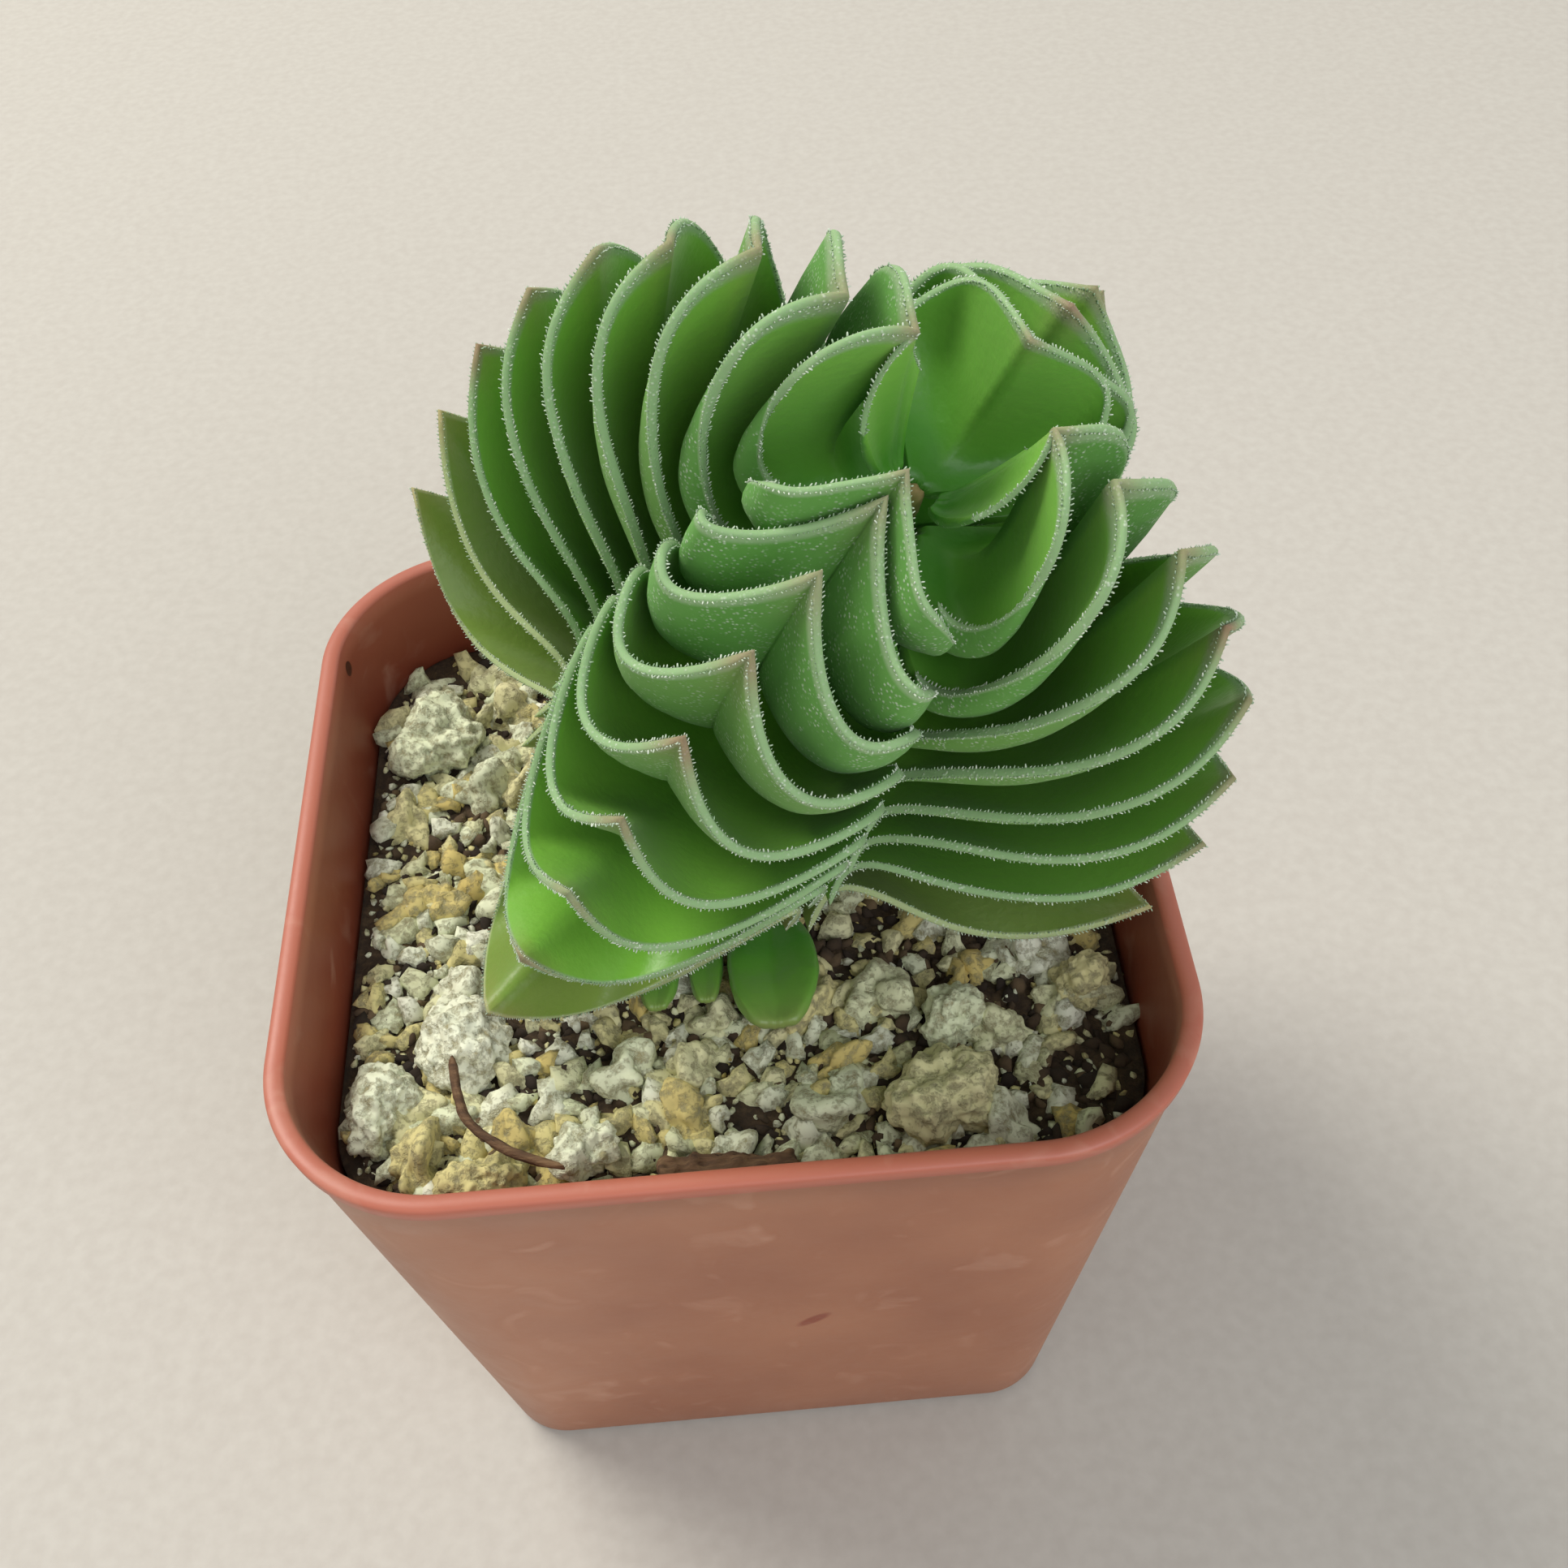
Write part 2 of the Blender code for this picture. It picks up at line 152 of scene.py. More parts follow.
def closed_mesh(name, points, faces, measures):
    """A mesh from arrays in millimetres with named point measures; seams are closed."""
    mesh = bpy.data.meshes.new(name)
    mesh.from_pydata((np.asarray(points) * MM).tolist(), [], np.asarray(faces).tolist())
    store_measures(mesh, measures)
    bm = bmesh.new()
    bm.from_mesh(mesh)
    bmesh.ops.remove_doubles(bm, verts=bm.verts, dist=SEAM * MM)
    bmesh.ops.dissolve_degenerate(bm, edges=bm.edges, dist=SEAM * MM)
    bmesh.ops.recalc_face_normals(bm, faces=bm.faces)
    # where only two faces meet, each is split from that corner, so neither folds into a flap
    for corner in [vertex for vertex in bm.verts if len(vertex.link_faces) == 2]:
        for face in list(corner.link_faces):
            around = list(face.verts)
            if len(around) == 4:
                bmesh.utils.face_split(face, corner, around[(around.index(corner) + 2) % 4])
    bm.to_mesh(mesh)
    bm.free()
    return mesh


def holder_for(mesh):
    holder = bpy.data.objects.new("holder", mesh)
    bpy.context.scene.collection.objects.link(holder)
    return holder


def plain_mesh(holder):
    """The result of an object's modifiers as a plain mesh; the object is removed."""
    depsgraph = bpy.context.evaluated_depsgraph_get()
    mesh = bpy.data.meshes.new_from_object(holder.evaluated_get(depsgraph))
    bpy.data.objects.remove(holder, do_unlink=True)
    return mesh


def new_tree(name, inputs):
    """A geometry tree with named inputs: the tree, its input node and the identifiers."""
    tree = bpy.data.node_groups.new(name, "GeometryNodeTree")
    tree.interface.new_socket("Geometry", in_out="OUTPUT", socket_type="NodeSocketGeometry")
    tree.interface.new_socket("Geometry", in_out="INPUT", socket_type="NodeSocketGeometry")
    sockets = {}
    for title, kind in inputs.items():
        made = tree.interface.new_socket(title, in_out="INPUT", socket_type="NodeSocket" + kind)
        sockets[title] = made.identifier
    return tree, add(tree, "NodeGroupInput").outputs, sockets


def run_tree(mesh, tree, sockets, values):
    """Run the tree on a mesh, with its inputs set by identifier, and return a plain mesh."""
    holder = holder_for(mesh)
    modifier = holder.modifiers.new(tree.name, "NODES")
    modifier.node_group = tree
    for title, value in values.items():
        modifier[sockets[title]] = value
    return plain_mesh(holder)


# %% [markdown]
# ## The pot's plastic
# The pot is injection-moulded polypropylene in a terracotta colour. Moulding leaves a dull
# gloss and a faint flow mottle, and handling leaves scuffs and specks of dried mix. Broad
# noise of about 12 mm gives the mottle, fine noise the grain, and a sparse cell pattern the
# specks. The specks are about 1 mm across, as dried splashes are. One slanting red-brown
# streak marks the front: it is the inside of a flattened ball that a Mapping node places.

# %% Moulded polypropylene
STREAK_PLACE = (0.003, -0.0223, 0.021)
STREAK_HALF = (0.0006, 0.006, 0.0017)
STREAK_SLANT = (0.0, 0.75, 0.0)

pot_plastic, tree = new_material("moulded_polypropylene")
where = add(tree, "ShaderNodeTexCoord").outputs["Object"]
mottle = add(tree, "ShaderNodeTexNoise", {"Vector": where, "Scale": 80.0, "Detail": 5.0})
base = add(tree, "ShaderNodeValToRGB", {"Fac": mottle}, stops=[(0.30, "#8f5b42"), (0.72, "#a06c50")])
inner = add(tree, "ShaderNodeAttribute", attribute_name="inner_wall").outputs["Fac"]
rim = add(tree, "ShaderNodeAttribute", attribute_name="rim").outputs["Fac"]
# painted shade: the inner wall is given a darker red than the outside, as the inside of the pot lies in shade
inner_wall_painted_shade = add(tree, "ShaderNodeMix", {"Factor": inner, "A": base, "B": linear("#84402c")}, data_type="RGBA")
# painted highlight: the rim is given a lighter, pinker red, as its edge catches the light
rim_painted_highlight = add(tree, "ShaderNodeMix", {"Factor": rim, "A": inner_wall_painted_shade, "B": linear("#a8604c")}, data_type="RGBA")
cells = add(tree, "ShaderNodeTexVoronoi", {"Vector": where, "Scale": 330.0})
chosen = add(tree, "ShaderNodeSeparateColor", {"Color": cells.outputs["Color"]})
few = add(tree, "ShaderNodeMath", {0: chosen, 1: 0.97}, operation="GREATER_THAN")
small = add(tree, "ShaderNodeMath", {0: cells, 1: 0.17}, operation="LESS_THAN")
speck = add(tree, "ShaderNodeMath", {0: few, 1: small}, operation="MULTIPLY")
spotted = add(tree, "ShaderNodeMix", {"Factor": speck, "A": rim_painted_highlight, "B": linear("#4a2418")}, data_type="RGBA")
streak_place = add(
    tree, "ShaderNodeMapping",
    {"Vector": where, "Location": STREAK_PLACE, "Rotation": STREAK_SLANT, "Scale": STREAK_HALF},
    vector_type="TEXTURE",
)
streak_reach = add(tree, "ShaderNodeVectorMath", {0: streak_place}, operation="LENGTH")
streak = add(
    tree, "ShaderNodeMapRange",
    {"Value": streak_reach.outputs["Value"], "From Min": 0.6, "From Max": 1.0, "To Min": 0.75, "To Max": 0.0},
)
marked = add(
    tree, "ShaderNodeMix", {"Factor": streak, "A": spotted, "B": linear("#7a2f1c")}, data_type="RGBA"
)
dust = add(tree, "ShaderNodeTexNoise", {"Vector": where, "Scale": 260.0, "Detail": 6.0, "Distortion": 1.0})
dusty = add(tree, "ShaderNodeMapRange", {"Value": dust, "From Min": 0.58, "From Max": 0.85, "To Max": 0.35})
finished = add(
    tree, "ShaderNodeMix", {"Factor": dusty, "A": marked, "B": linear("#c9a48f")}, data_type="RGBA"
)
grain = add(tree, "ShaderNodeTexNoise", {"Vector": where, "Scale": 1400.0, "Detail": 3.0})
dull = add(tree, "ShaderNodeMapRange", {"Value": dust, "To Min": 0.32, "To Max": 0.56})
relief = add(tree, "ShaderNodeBump", {"Height": grain, "Strength": 0.12, "Distance": 0.0001})
shader = add(
    tree, "ShaderNodeBsdfPrincipled",
    {"Base Color": finished, "Roughness": dull, "Normal": relief, "IOR": 1.49,
     "Subsurface Weight": 0.08, "Subsurface Radius": (1.0, 0.35, 0.2), "Subsurface Scale": 0.0008},
)
add(tree, "ShaderNodeOutputMaterial", {"Surface": shader})
print(pot_plastic.name, "has", len(tree.nodes), "nodes")

# %% [markdown]
# ## The pot
# The pot is a square with rounded corners that tapers to its foot. It could be a box with
# bevels, but a bevel has one radius, and these corners grow from foot to rim. So a stack of
# plain rings carries a height and an inset for each ring, and a geometry node tree gives
# every ring its rounded square: a corner's centre by the sign of the cosine and the sine, and
# an arc about it. Width and corner radius change in a straight line from foot to rim.

# %% The taper tree
taper, given, taper_sockets = new_tree(
    "rounded_square_taper",
    {"Base Width": "Float", "Top Width": "Float", "Base Corner": "Float", "Top Corner": "Float",
     "Height": "Float", "Material": "Material"},
)
level = add(taper, "GeometryNodeInputNamedAttribute", {"Name": "level"}, data_type="FLOAT")
inset = add(taper, "GeometryNodeInputNamedAttribute", {"Name": "inset"}, data_type="FLOAT")
angle = add(taper, "GeometryNodeInputNamedAttribute", {"Name": "angle"}, data_type="FLOAT")
share = add(taper, "ShaderNodeMath", {0: level, 1: given["Height"]}, operation="DIVIDE")
width = add(
    taper, "ShaderNodeMapRange",
    {"Value": share, "To Min": given["Base Width"], "To Max": given["Top Width"]}, clamp=False,
)
corner = add(
    taper, "ShaderNodeMapRange",
    {"Value": share, "To Min": given["Base Corner"], "To Max": given["Top Corner"]}, clamp=False,
)
arc = add(taper, "ShaderNodeMath", {0: corner, 1: inset}, operation="SUBTRACT")
half_width = add(taper, "ShaderNodeMath", {0: width, 1: 0.5}, operation="MULTIPLY")
straight = add(taper, "ShaderNodeMath", {0: half_width, 1: corner}, operation="SUBTRACT")
sides = []
for swing in ("COSINE", "SINE"):
    turned = add(taper, "ShaderNodeMath", {0: angle}, operation=swing)
    quadrant = add(taper, "ShaderNodeMath", {0: turned}, operation="SIGN")
    centre = add(taper, "ShaderNodeMath", {0: quadrant, 1: straight}, operation="MULTIPLY")
    sides.append(
        add(taper, "ShaderNodeMath", {0: turned, 1: arc, 2: centre}, operation="MULTIPLY_ADD")
    )
spot = add(taper, "ShaderNodeCombineXYZ", {"X": sides[0], "Y": sides[1], "Z": level})
moved = add(taper, "GeometryNodeSetPosition", {"Geometry": given["Geometry"], "Position": spot})
real = add(taper, "GeometryNodeRealizeInstances", {"Geometry": moved})
dressed = add(taper, "GeometryNodeSetMaterial", {"Geometry": real, "Material": given["Material"]})
add(taper, "NodeGroupOutput", {"Geometry": dressed})
print("taper tree:", len(taper.nodes), "nodes")

# %% Pot sizes and profile
pot_low, pot_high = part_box("pot")
POT_HEIGHT = pot_high[2] / MM
RIM_PROUD = 0.25
POT_WIDTH = (pot_high[0] - pot_low[0]) / MM - 2 * RIM_PROUD
POT_BASE = 38.5
BASE_CORNER = 4.4
TOP_CORNER = 9.9
WALL = 0.9
RIM_BAND = 1.4
FOOT = 0.7
AROUND = 144
FOOT_STEPS = 5
LIP_STEPS = 8
LIP_CROWN = 0.5
LIP_DROP = 1.6
FLOOR_FILLET = 0.4

# each ring is (level, inset, how far it belongs to the inner wall, how far to the rim); the plastic paints
# the inner wall darker as shade and the rim lighter as a highlight
profile = []
for step in range(FOOT_STEPS + 1):
    bend = step / FOOT_STEPS * math.pi / 2
    profile.append((FOOT * (1 - math.cos(bend)), FOOT * (1 - math.sin(bend)), 0, 0))
profile += [(share_up * POT_HEIGHT, 0.0, 0, 0) for share_up in (0.1, 0.3, 0.5, 0.7, 0.9)]
step_low = POT_HEIGHT - RIM_BAND
profile += [(step_low - 0.05, 0.0, 0, 0), (step_low + 0.08, -0.08, 0, 1), (step_low + 0.3, -RIM_PROUD, 0, 1)]
lip = (WALL + RIM_PROUD) / 2
for step in range(LIP_STEPS + 1):
    bend = step / LIP_STEPS * math.pi
    z = POT_HEIGHT - LIP_CROWN * lip + LIP_CROWN * lip * math.sin(bend)
    profile.append((z, -RIM_PROUD + lip * (1 - math.cos(bend)), 0, 1))
profile += [(POT_HEIGHT - LIP_DROP, WALL, 1, 0.3)]
profile += [(share_up * POT_HEIGHT, WALL, 1, 0) for share_up in (0.9, 0.7, 0.5, 0.3)]
profile += [(WALL + 0.05, WALL, 1, 0), (WALL, WALL + FLOOR_FILLET, 1, 0)]
print("pot profile:", len(profile), "rings of", AROUND)


# %% Lay the rings, taper them and drill the drain holes
def ring_stack(rings, around):
    """Points, faces and measures of a closed stack of rings of (level, inset, inner, rim)."""
    rings = np.array(rings, dtype=float)
    angles = (np.arange(around) + 0.5) / around * 2 * math.pi
    points = np.stack(
        [np.tile(np.cos(angles), len(rings)), np.tile(np.sin(angles), len(rings)),
         np.repeat(np.arange(len(rings)), around)], -1,
    )
    faces = []
    for ring in range(len(rings) - 1):
        for i in range(around):
            after = (i + 1) % around
            low, high = ring * around, (ring + 1) * around
            faces.append((low + i, low + after, high + after, high + i))
    faces.append(tuple(reversed(range(around))))
    faces.append(tuple(range((len(rings) - 1) * around, len(rings) * around)))
    measures = {
        "level": np.repeat(rings[:, 0], around) * MM, "inset": np.repeat(rings[:, 1], around) * MM,
        "inner_wall": np.repeat(rings[:, 2], around), "rim": np.repeat(rings[:, 3], around),
        "angle": np.tile(angles, len(rings)),
    }
    return points, faces, measures


def tapered(rings, around, material):
    """A ring stack that the taper tree has fitted to the pot's outline."""
    points, faces, measures = ring_stack(rings, around)
    mesh = bpy.data.meshes.new("rings")
    mesh.from_pydata(points.tolist(), [], faces)
    store_measures(mesh, measures)
    return run_tree(
        mesh, taper, taper_sockets,
        {"Base Width": POT_BASE * MM, "Top Width": POT_WIDTH * MM, "Base Corner": BASE_CORNER * MM,
         "Top Corner": TOP_CORNER * MM, "Height": POT_HEIGHT * MM, "Material": material},
    )


DRAIN_RADIUS = 2.4
DRILL_FACETS = 40
DRAIN_OFFSET = 10.0
holder = holder_for(tapered(profile, AROUND, pot_plastic))
drills = []
for x, y in ((1, 1), (-1, 1), (-1, -1), (1, -1)):
    bm = bmesh.new()
    bmesh.ops.create_cone(
        bm, cap_ends=True, segments=DRILL_FACETS, radius1=DRAIN_RADIUS * MM, radius2=DRAIN_RADIUS * MM,
        depth=6 * WALL * MM,
        matrix=Matrix.Translation(Vector((x * DRAIN_OFFSET, y * DRAIN_OFFSET, 0)) * MM),
    )
    drill_mesh = bpy.data.meshes.new("drill")
    bm.to_mesh(drill_mesh)
    bm.free()
    drills.append(holder_for(drill_mesh))
    cut = holder.modifiers.new("drain", "BOOLEAN")
    cut.object = drills[-1]
pot_mesh = plain_mesh(holder)
for drill in drills:
    bpy.data.objects.remove(drill, do_unlink=True)
add_piece("pot_moulding", pot_mesh, pot_plastic, ["pot"])
pot_mesh.set_sharp_from_angle(angle=math.radians(40))
print("pot:", len(pot_mesh.polygons), "faces")

# %% [markdown]
# ## The stem and the place of each leaf
# Each leaf sits at a node of the stem. The nodes are close together at the tip, where growth
# is young. The stem's middle line leans and bends, and every leaf is laid in a frame that
# follows it: a height along the stem, a turn round it, and a reach out from it. One function
# turns those three into a point, so the whole column bends as one.

# %% Stem line
STEM_FOOT = np.array([-1.0, 7.4, 37.9])
STEM_LEAN = np.array([0.32, -0.46])
STEM_BEND = np.array([-0.01, 0.02])
STEM_LENGTH = 37.3
STEM_FOOT_RADIUS = 2.6
STEM_TOP_RADIUS = 0.6
BEND_SPAN = 50.8
FRONT_RANK = math.radians(-128.9)
RANK_SKEW = math.radians(7.3)


def stem_frame(height):
    """Middle of the stem and its direction at heights in millimetres above its foot."""
    share = height / BEND_SPAN
    drift = STEM_LEAN * height[..., None] + STEM_BEND * (height * share)[..., None]
    centre = STEM_FOOT + np.concatenate([drift, height[..., None]], axis=-1)
    slope = STEM_LEAN + 2 * STEM_BEND * share[..., None]
    along = np.concatenate([slope, np.ones_like(height)[..., None]], axis=-1)
    return centre, along / np.linalg.norm(along, axis=-1, keepdims=True)


def beside_stem(height, swing, reach):
    """Points at a reach from the stem, turned round it from the front rank."""
    centre, along = stem_frame(height)
    heading = np.array([math.cos(FRONT_RANK), math.sin(FRONT_RANK), 0.0])
    out = heading - along * (along @ heading)[..., None]
    out /= np.linalg.norm(out, axis=-1, keepdims=True)
    across = np.cross(along, out)
    return centre + (out * np.cos(swing)[..., None] + across * np.sin(swing)[..., None]) * reach[..., None]


# %% Leaf measures at each age
# a measure is (young, middle, old); an edge point is (out from the stem, to the side, up)
AGE_SPAN = 20
NODE_CROWDING = 0.75
BUD_AGE = 2.0
BUD_AGE_FADE = 1.6
BUD_SIDE = 4.0
BUD_SIDE_FADE = 4.0
YOUNGEST_SCALE = (0.8, 1.0, 1.0)
BUD_REACH = 0.9
BUD_REACH_STEP = 0.65
TIP = ((-4.0, 17.3, 24.9), (0.0, 0.0, 0.0), (5.3, 16.2, -2.0))
SHOULDER = ((1.0, 15.4, 13.8), (3.4, 5.1, 5.0), (6.4, 10.5, -2.9))
EAR = ((4.6, 9.6, 9.3), (3.2, 6.7, 6.5), (1.4, 5.2, 4.8))
SIDE = ((1.2, 8.0, 9.4), (1.2, 8.0, 9.4), (0.8, 1.8, 2.2))
EDGE_POINTS = (TIP, SHOULDER, EAR, SIDE)
FRONT_BACK_CHANGE = ((-1.1, 0.0, -3.4), (0.1, 0.2, -3.5), (1.6, 1.1, 3.0), (-0.5, -0.5, 0.8))
FRONT_BACK_AGE = 0.8
HOLLOW_POWER = (5.0, 2.8, 2.0)
TIP_HOOK_POWER = 1.5
EDGE_THICKNESS = (0.48, 0.42, 0.34)
BLADE_THICKNESS = (1.0, 1.15, 0.9)
YOUNGEST_CURL = (0.2, 0.6, 0.8)
YOUNGEST_EVENNESS = (0.9, 0.45, 0.2)
EVEN_EDGE_DROP = 0.5
BUD_SWELL = 1.8
BUD_SWELL_NODE = 3.0
YOUNGEST_THINNESS = (0.5, 0.7, 0.8, 0.9)
SHOULDER_ROUNDING = 0.075
BACK_EAR_DROP = 1.6


def node_height(node):
    return STEM_LENGTH * (1 - node / AGE_SPAN) ** NODE_CROWDING


def stem_radius(height):
    return STEM_FOOT_RADIUS + (STEM_TOP_RADIUS - STEM_FOOT_RADIUS) * max(height, 0.0) / STEM_LENGTH


def at_age(young, middle, old, age):
    """Smooth change of one measure with a leaf's age."""
    share = 2 * age / AGE_SPAN - 1
    return young * share * (share - 1) / 2 + middle * (1 - share * share) + old * share * (share + 1) / 2


def edge_points(node, front_back, back=False):
    """The four points that a leaf's edge runs through, from its tip to its side."""
    scale = YOUNGEST_SCALE[node] if node < len(YOUNGEST_SCALE) else 1.0
    age = node + BUD_AGE * math.exp(-node / BUD_AGE_FADE) + FRONT_BACK_AGE * front_back
    points = []
    for measures, change in zip(EDGE_POINTS, FRONT_BACK_CHANGE):
        values = [at_age(*measure, age) + extra * front_back for measure, extra in zip(measures, change)]
        points.append(np.array(values) * scale)
    points[0][0] = max(points[0][0], BUD_REACH + BUD_REACH_STEP * node)
    points[3][:2] += BUD_SIDE * math.exp(-node / BUD_SIDE_FADE) * front_back
    if back:
        points[2][2] -= BACK_EAR_DROP * scale
    return points


print("node heights in mm:", [round(node_height(node), 1) for node in range(0, 19, 3)])


# %% [markdown]
# ## One leaf
# A leaf is a thick blade, flat where it leaves the stem and turned up at its edge, with a
# hooked tip. Its outline is one cubic curve through four points from the tip to the side,
# rounded off a little. Leaves of the bud are evened out, so that they wrap without folds. The
# blade is a grid of points between stem and edge, pushed apart into an upper and a lower skin.
# The last rows close round the edge, which leaves the blunt, strip-like rim that such leaves
# have. Each skin point also carries how near it is to the rim and the tip, for the material.

# %% Lay the middle surface of a leaf
def young_value(values, node, otherwise):
    return values[node] if node < len(values) else otherwise


OUTLINE_STEPS = 120
NEAREST_OUTLINE = 0.3
STEM_CLEARANCE = 0.45
RANK_GAP = 0.42
HOOK_WIDTH = 3


def rounded(values):
    """Round off an outline's bends; both of its ends stay where they are."""
    reach = int(3 * SHOULDER_ROUNDING * OUTLINE_STEPS)
    weights = np.exp(-0.5 * (np.arange(-reach, reach + 1) / (SHOULDER_ROUNDING * OUTLINE_STEPS)) ** 2)
    padded = np.pad(values, reach, mode="reflect", reflect_type="odd")
    return np.convolve(padded, weights / weights.sum(), mode="valid")


def middle_surface(node, front_back, turn, across, along, ripple):
    """Points of a leaf's middle surface, for arrays of places across and along it."""
    points = edge_points(node, front_back, back=front_back and turn > 1)
    quarter = math.pi / 4
    places = np.linspace(0, 1, OUTLINE_STEPS + 1)
    t = 3 * places
    weights = [
        (1 - t) * (2 - t) * (3 - t) / 6, t * (t - 2) * (t - 3) / 2,
        -t * (t - 1) * (t - 3) / 2, t * (t - 1) * (t - 2) / 6,
    ]
    edge = sum(weight[:, None] * point for weight, point in zip(weights, points))
    evenness = young_value(YOUNGEST_EVENNESS, node, 0.0)
    outline_turn = np.clip(np.arctan2(edge[:, 1], np.maximum(edge[:, 0], NEAREST_OUTLINE)), 0.0, quarter)
    outline_turn += (places * quarter - outline_turn) * evenness
    outline_reach = np.hypot(edge[:, 0], edge[:, 1])
    outline_reach += ((points[0][0] + np.linalg.norm(points[2])) / 2 - outline_reach) * evenness
    even_height = points[0][2] * (1 - EVEN_EDGE_DROP * places)
    outline_height = edge[:, 2] + (even_height - edge[:, 2]) * evenness
    share = np.abs(across)
    edge_turn, edge_reach, edge_height = (
        np.interp(share, places, rounded(values)) for values in (outline_turn, outline_reach, outline_height)
    )
    root = stem_radius(node_height(node)) + STEM_CLEARANCE
    reach = root * (1 - along) + np.maximum(edge_reach, root) * along
    ripeness = node / BUD_SWELL_NODE
    reach = reach + BUD_SWELL * ripeness * math.exp(1 - ripeness) * np.sin(math.pi * along ** 2)
    swing = share * quarter * (1 - along) + edge_turn * along
    side = np.sign(across)
    width = quarter + side * (RANK_SKEW if front_back else -RANK_SKEW) / 2
    swing = swing / quarter * (width - np.arcsin(np.minimum(RANK_GAP / reach, 1.0)))
    hook = np.maximum(1 - HOOK_WIDTH * share, 0.0) ** 2
    curl = (at_age(*HOLLOW_POWER, node) - 1 + TIP_HOOK_POWER * hook) * young_value(YOUNGEST_CURL, node, 1.0)
    upward = edge_height * along ** (1 + curl) + ripple * along ** 3
    return beside_stem(node_height(node) + upward, turn + side * swing, reach)


# %% Give the leaf its two skins and its rim
ACROSS_STEPS = 84
ALONG_STEPS = 18
RIM_STEPS = 5
RIM_DEPTH = 0.35
RIM_CREASE = 0.008
SHORTEST_BLADE = 3.0
FULL_TURN = 6.28
RIPPLES = ((0.22, 6.0), (0.10, 15.0))
RIPPLE_AGE = 5
TIP_FLUSH_WIDTH = 0.06
TIP_FLUSH_POWER = 60
END_TAPER = 0.05


def leaf_mesh(name, node, front_back, turn, seed):
    """A closed leaf, its measures for the material, and the two lines of its rim."""
    rng = np.random.default_rng(seed)
    even = np.linspace(-1, 1, ACROSS_STEPS + 1)
    across_line = 0.5 * np.sin(even * math.pi / 2) + 0.5 * even
    thinness = young_value(YOUNGEST_THINNESS, node, 1.0)
    thickness = at_age(*EDGE_THICKNESS, node) * thinness
    blade_thickness = at_age(*BLADE_THICKNESS, node) * thinness
    length = max(np.linalg.norm(edge_points(node, front_back)[1]), SHORTEST_BLADE)
    rim = RIM_DEPTH * thickness / length
    bend = np.linspace(0, math.pi / 2, RIM_STEPS + 1)
    blade = np.append(np.linspace(0, 1 - rim - RIM_CREASE, ALONG_STEPS), 1 - rim)
    along_line = np.append(blade, 1 - rim * (1 - np.sin(bend[1:])))
    close = np.append(np.ones(ALONG_STEPS + 1), np.cos(bend[1:]) ** 0.5)
    close[0] = 0.0
    along, across = np.meshgrid(along_line, across_line, indexing="ij")
    phases = rng.uniform(0, FULL_TURN, len(RIPPLES))
    ripple = sum(lift * np.sin(across * waves + phase) for (lift, waves), phase in zip(RIPPLES, phases))
    ripple = ripple * min(1.0, node / RIPPLE_AGE) * (1 - np.abs(across) ** 4)
    middle = middle_surface(node, front_back, turn, across, along, ripple)
    normal = np.cross(np.gradient(middle, axis=0), np.gradient(middle, axis=1))
    normal /= np.linalg.norm(normal, axis=-1, keepdims=True) + 1e-12
    tip = np.exp(-(across / TIP_FLUSH_WIDTH) ** 2)
    ends = np.clip((1 - np.abs(across)) / END_TAPER, 0, 1) ** 0.5
    taper_out = thickness + (blade_thickness - thickness) * (1 - along ** 4)
    half = taper_out / 2 * close[:, None] * ends
    upper = middle + normal * half[..., None]
    lower = middle - normal * half[..., None]
    rows, columns = middle.shape[:2]
    count = rows * columns
    index = np.arange(count).reshape(rows, columns)
    a, b, c, d = index[:-1, :-1], index[1:, :-1], index[1:, 1:], index[:-1, 1:]
    top = np.stack([a, b, c, d], -1).reshape(-1, 4)
    bottom = np.stack([a, d, c, b], -1).reshape(-1, 4) + count
    on_rim = (np.arange(rows)[:, None] >= ALONG_STEPS) * np.ones_like(along)
    measures = {
        "on_rim": np.tile(on_rim.ravel(), 2),
        "near_tip": np.tile((tip * along ** TIP_FLUSH_POWER).ravel(), 2),
        "underside": np.repeat([0.0, 1.0], count), "along": np.tile(along.ravel(), 2),
    }
    points = np.concatenate([upper.reshape(-1, 3), lower.reshape(-1, 3)])
    mesh = closed_mesh(name, points, np.concatenate([top, bottom]), measures)
    row = ALONG_STEPS + 2
    push = middle[-1] - middle[-3]
    return mesh, [(upper[row], push, normal[row]), (lower[row], push, -normal[row])]


# %% [markdown]
# ## What a leaf's skin is made of
# The skin is a waxy cuticle over juicy green tissue, so light goes a little way in. The upper
# side is smooth and satin. The lower side and the rim are covered with pale papillae, which
# makes them greyish and velvety. Tips have a reddish brown tint from sun. Papillae are
# about 0.15 mm across; they are drawn at about 0.25 mm so that they show.


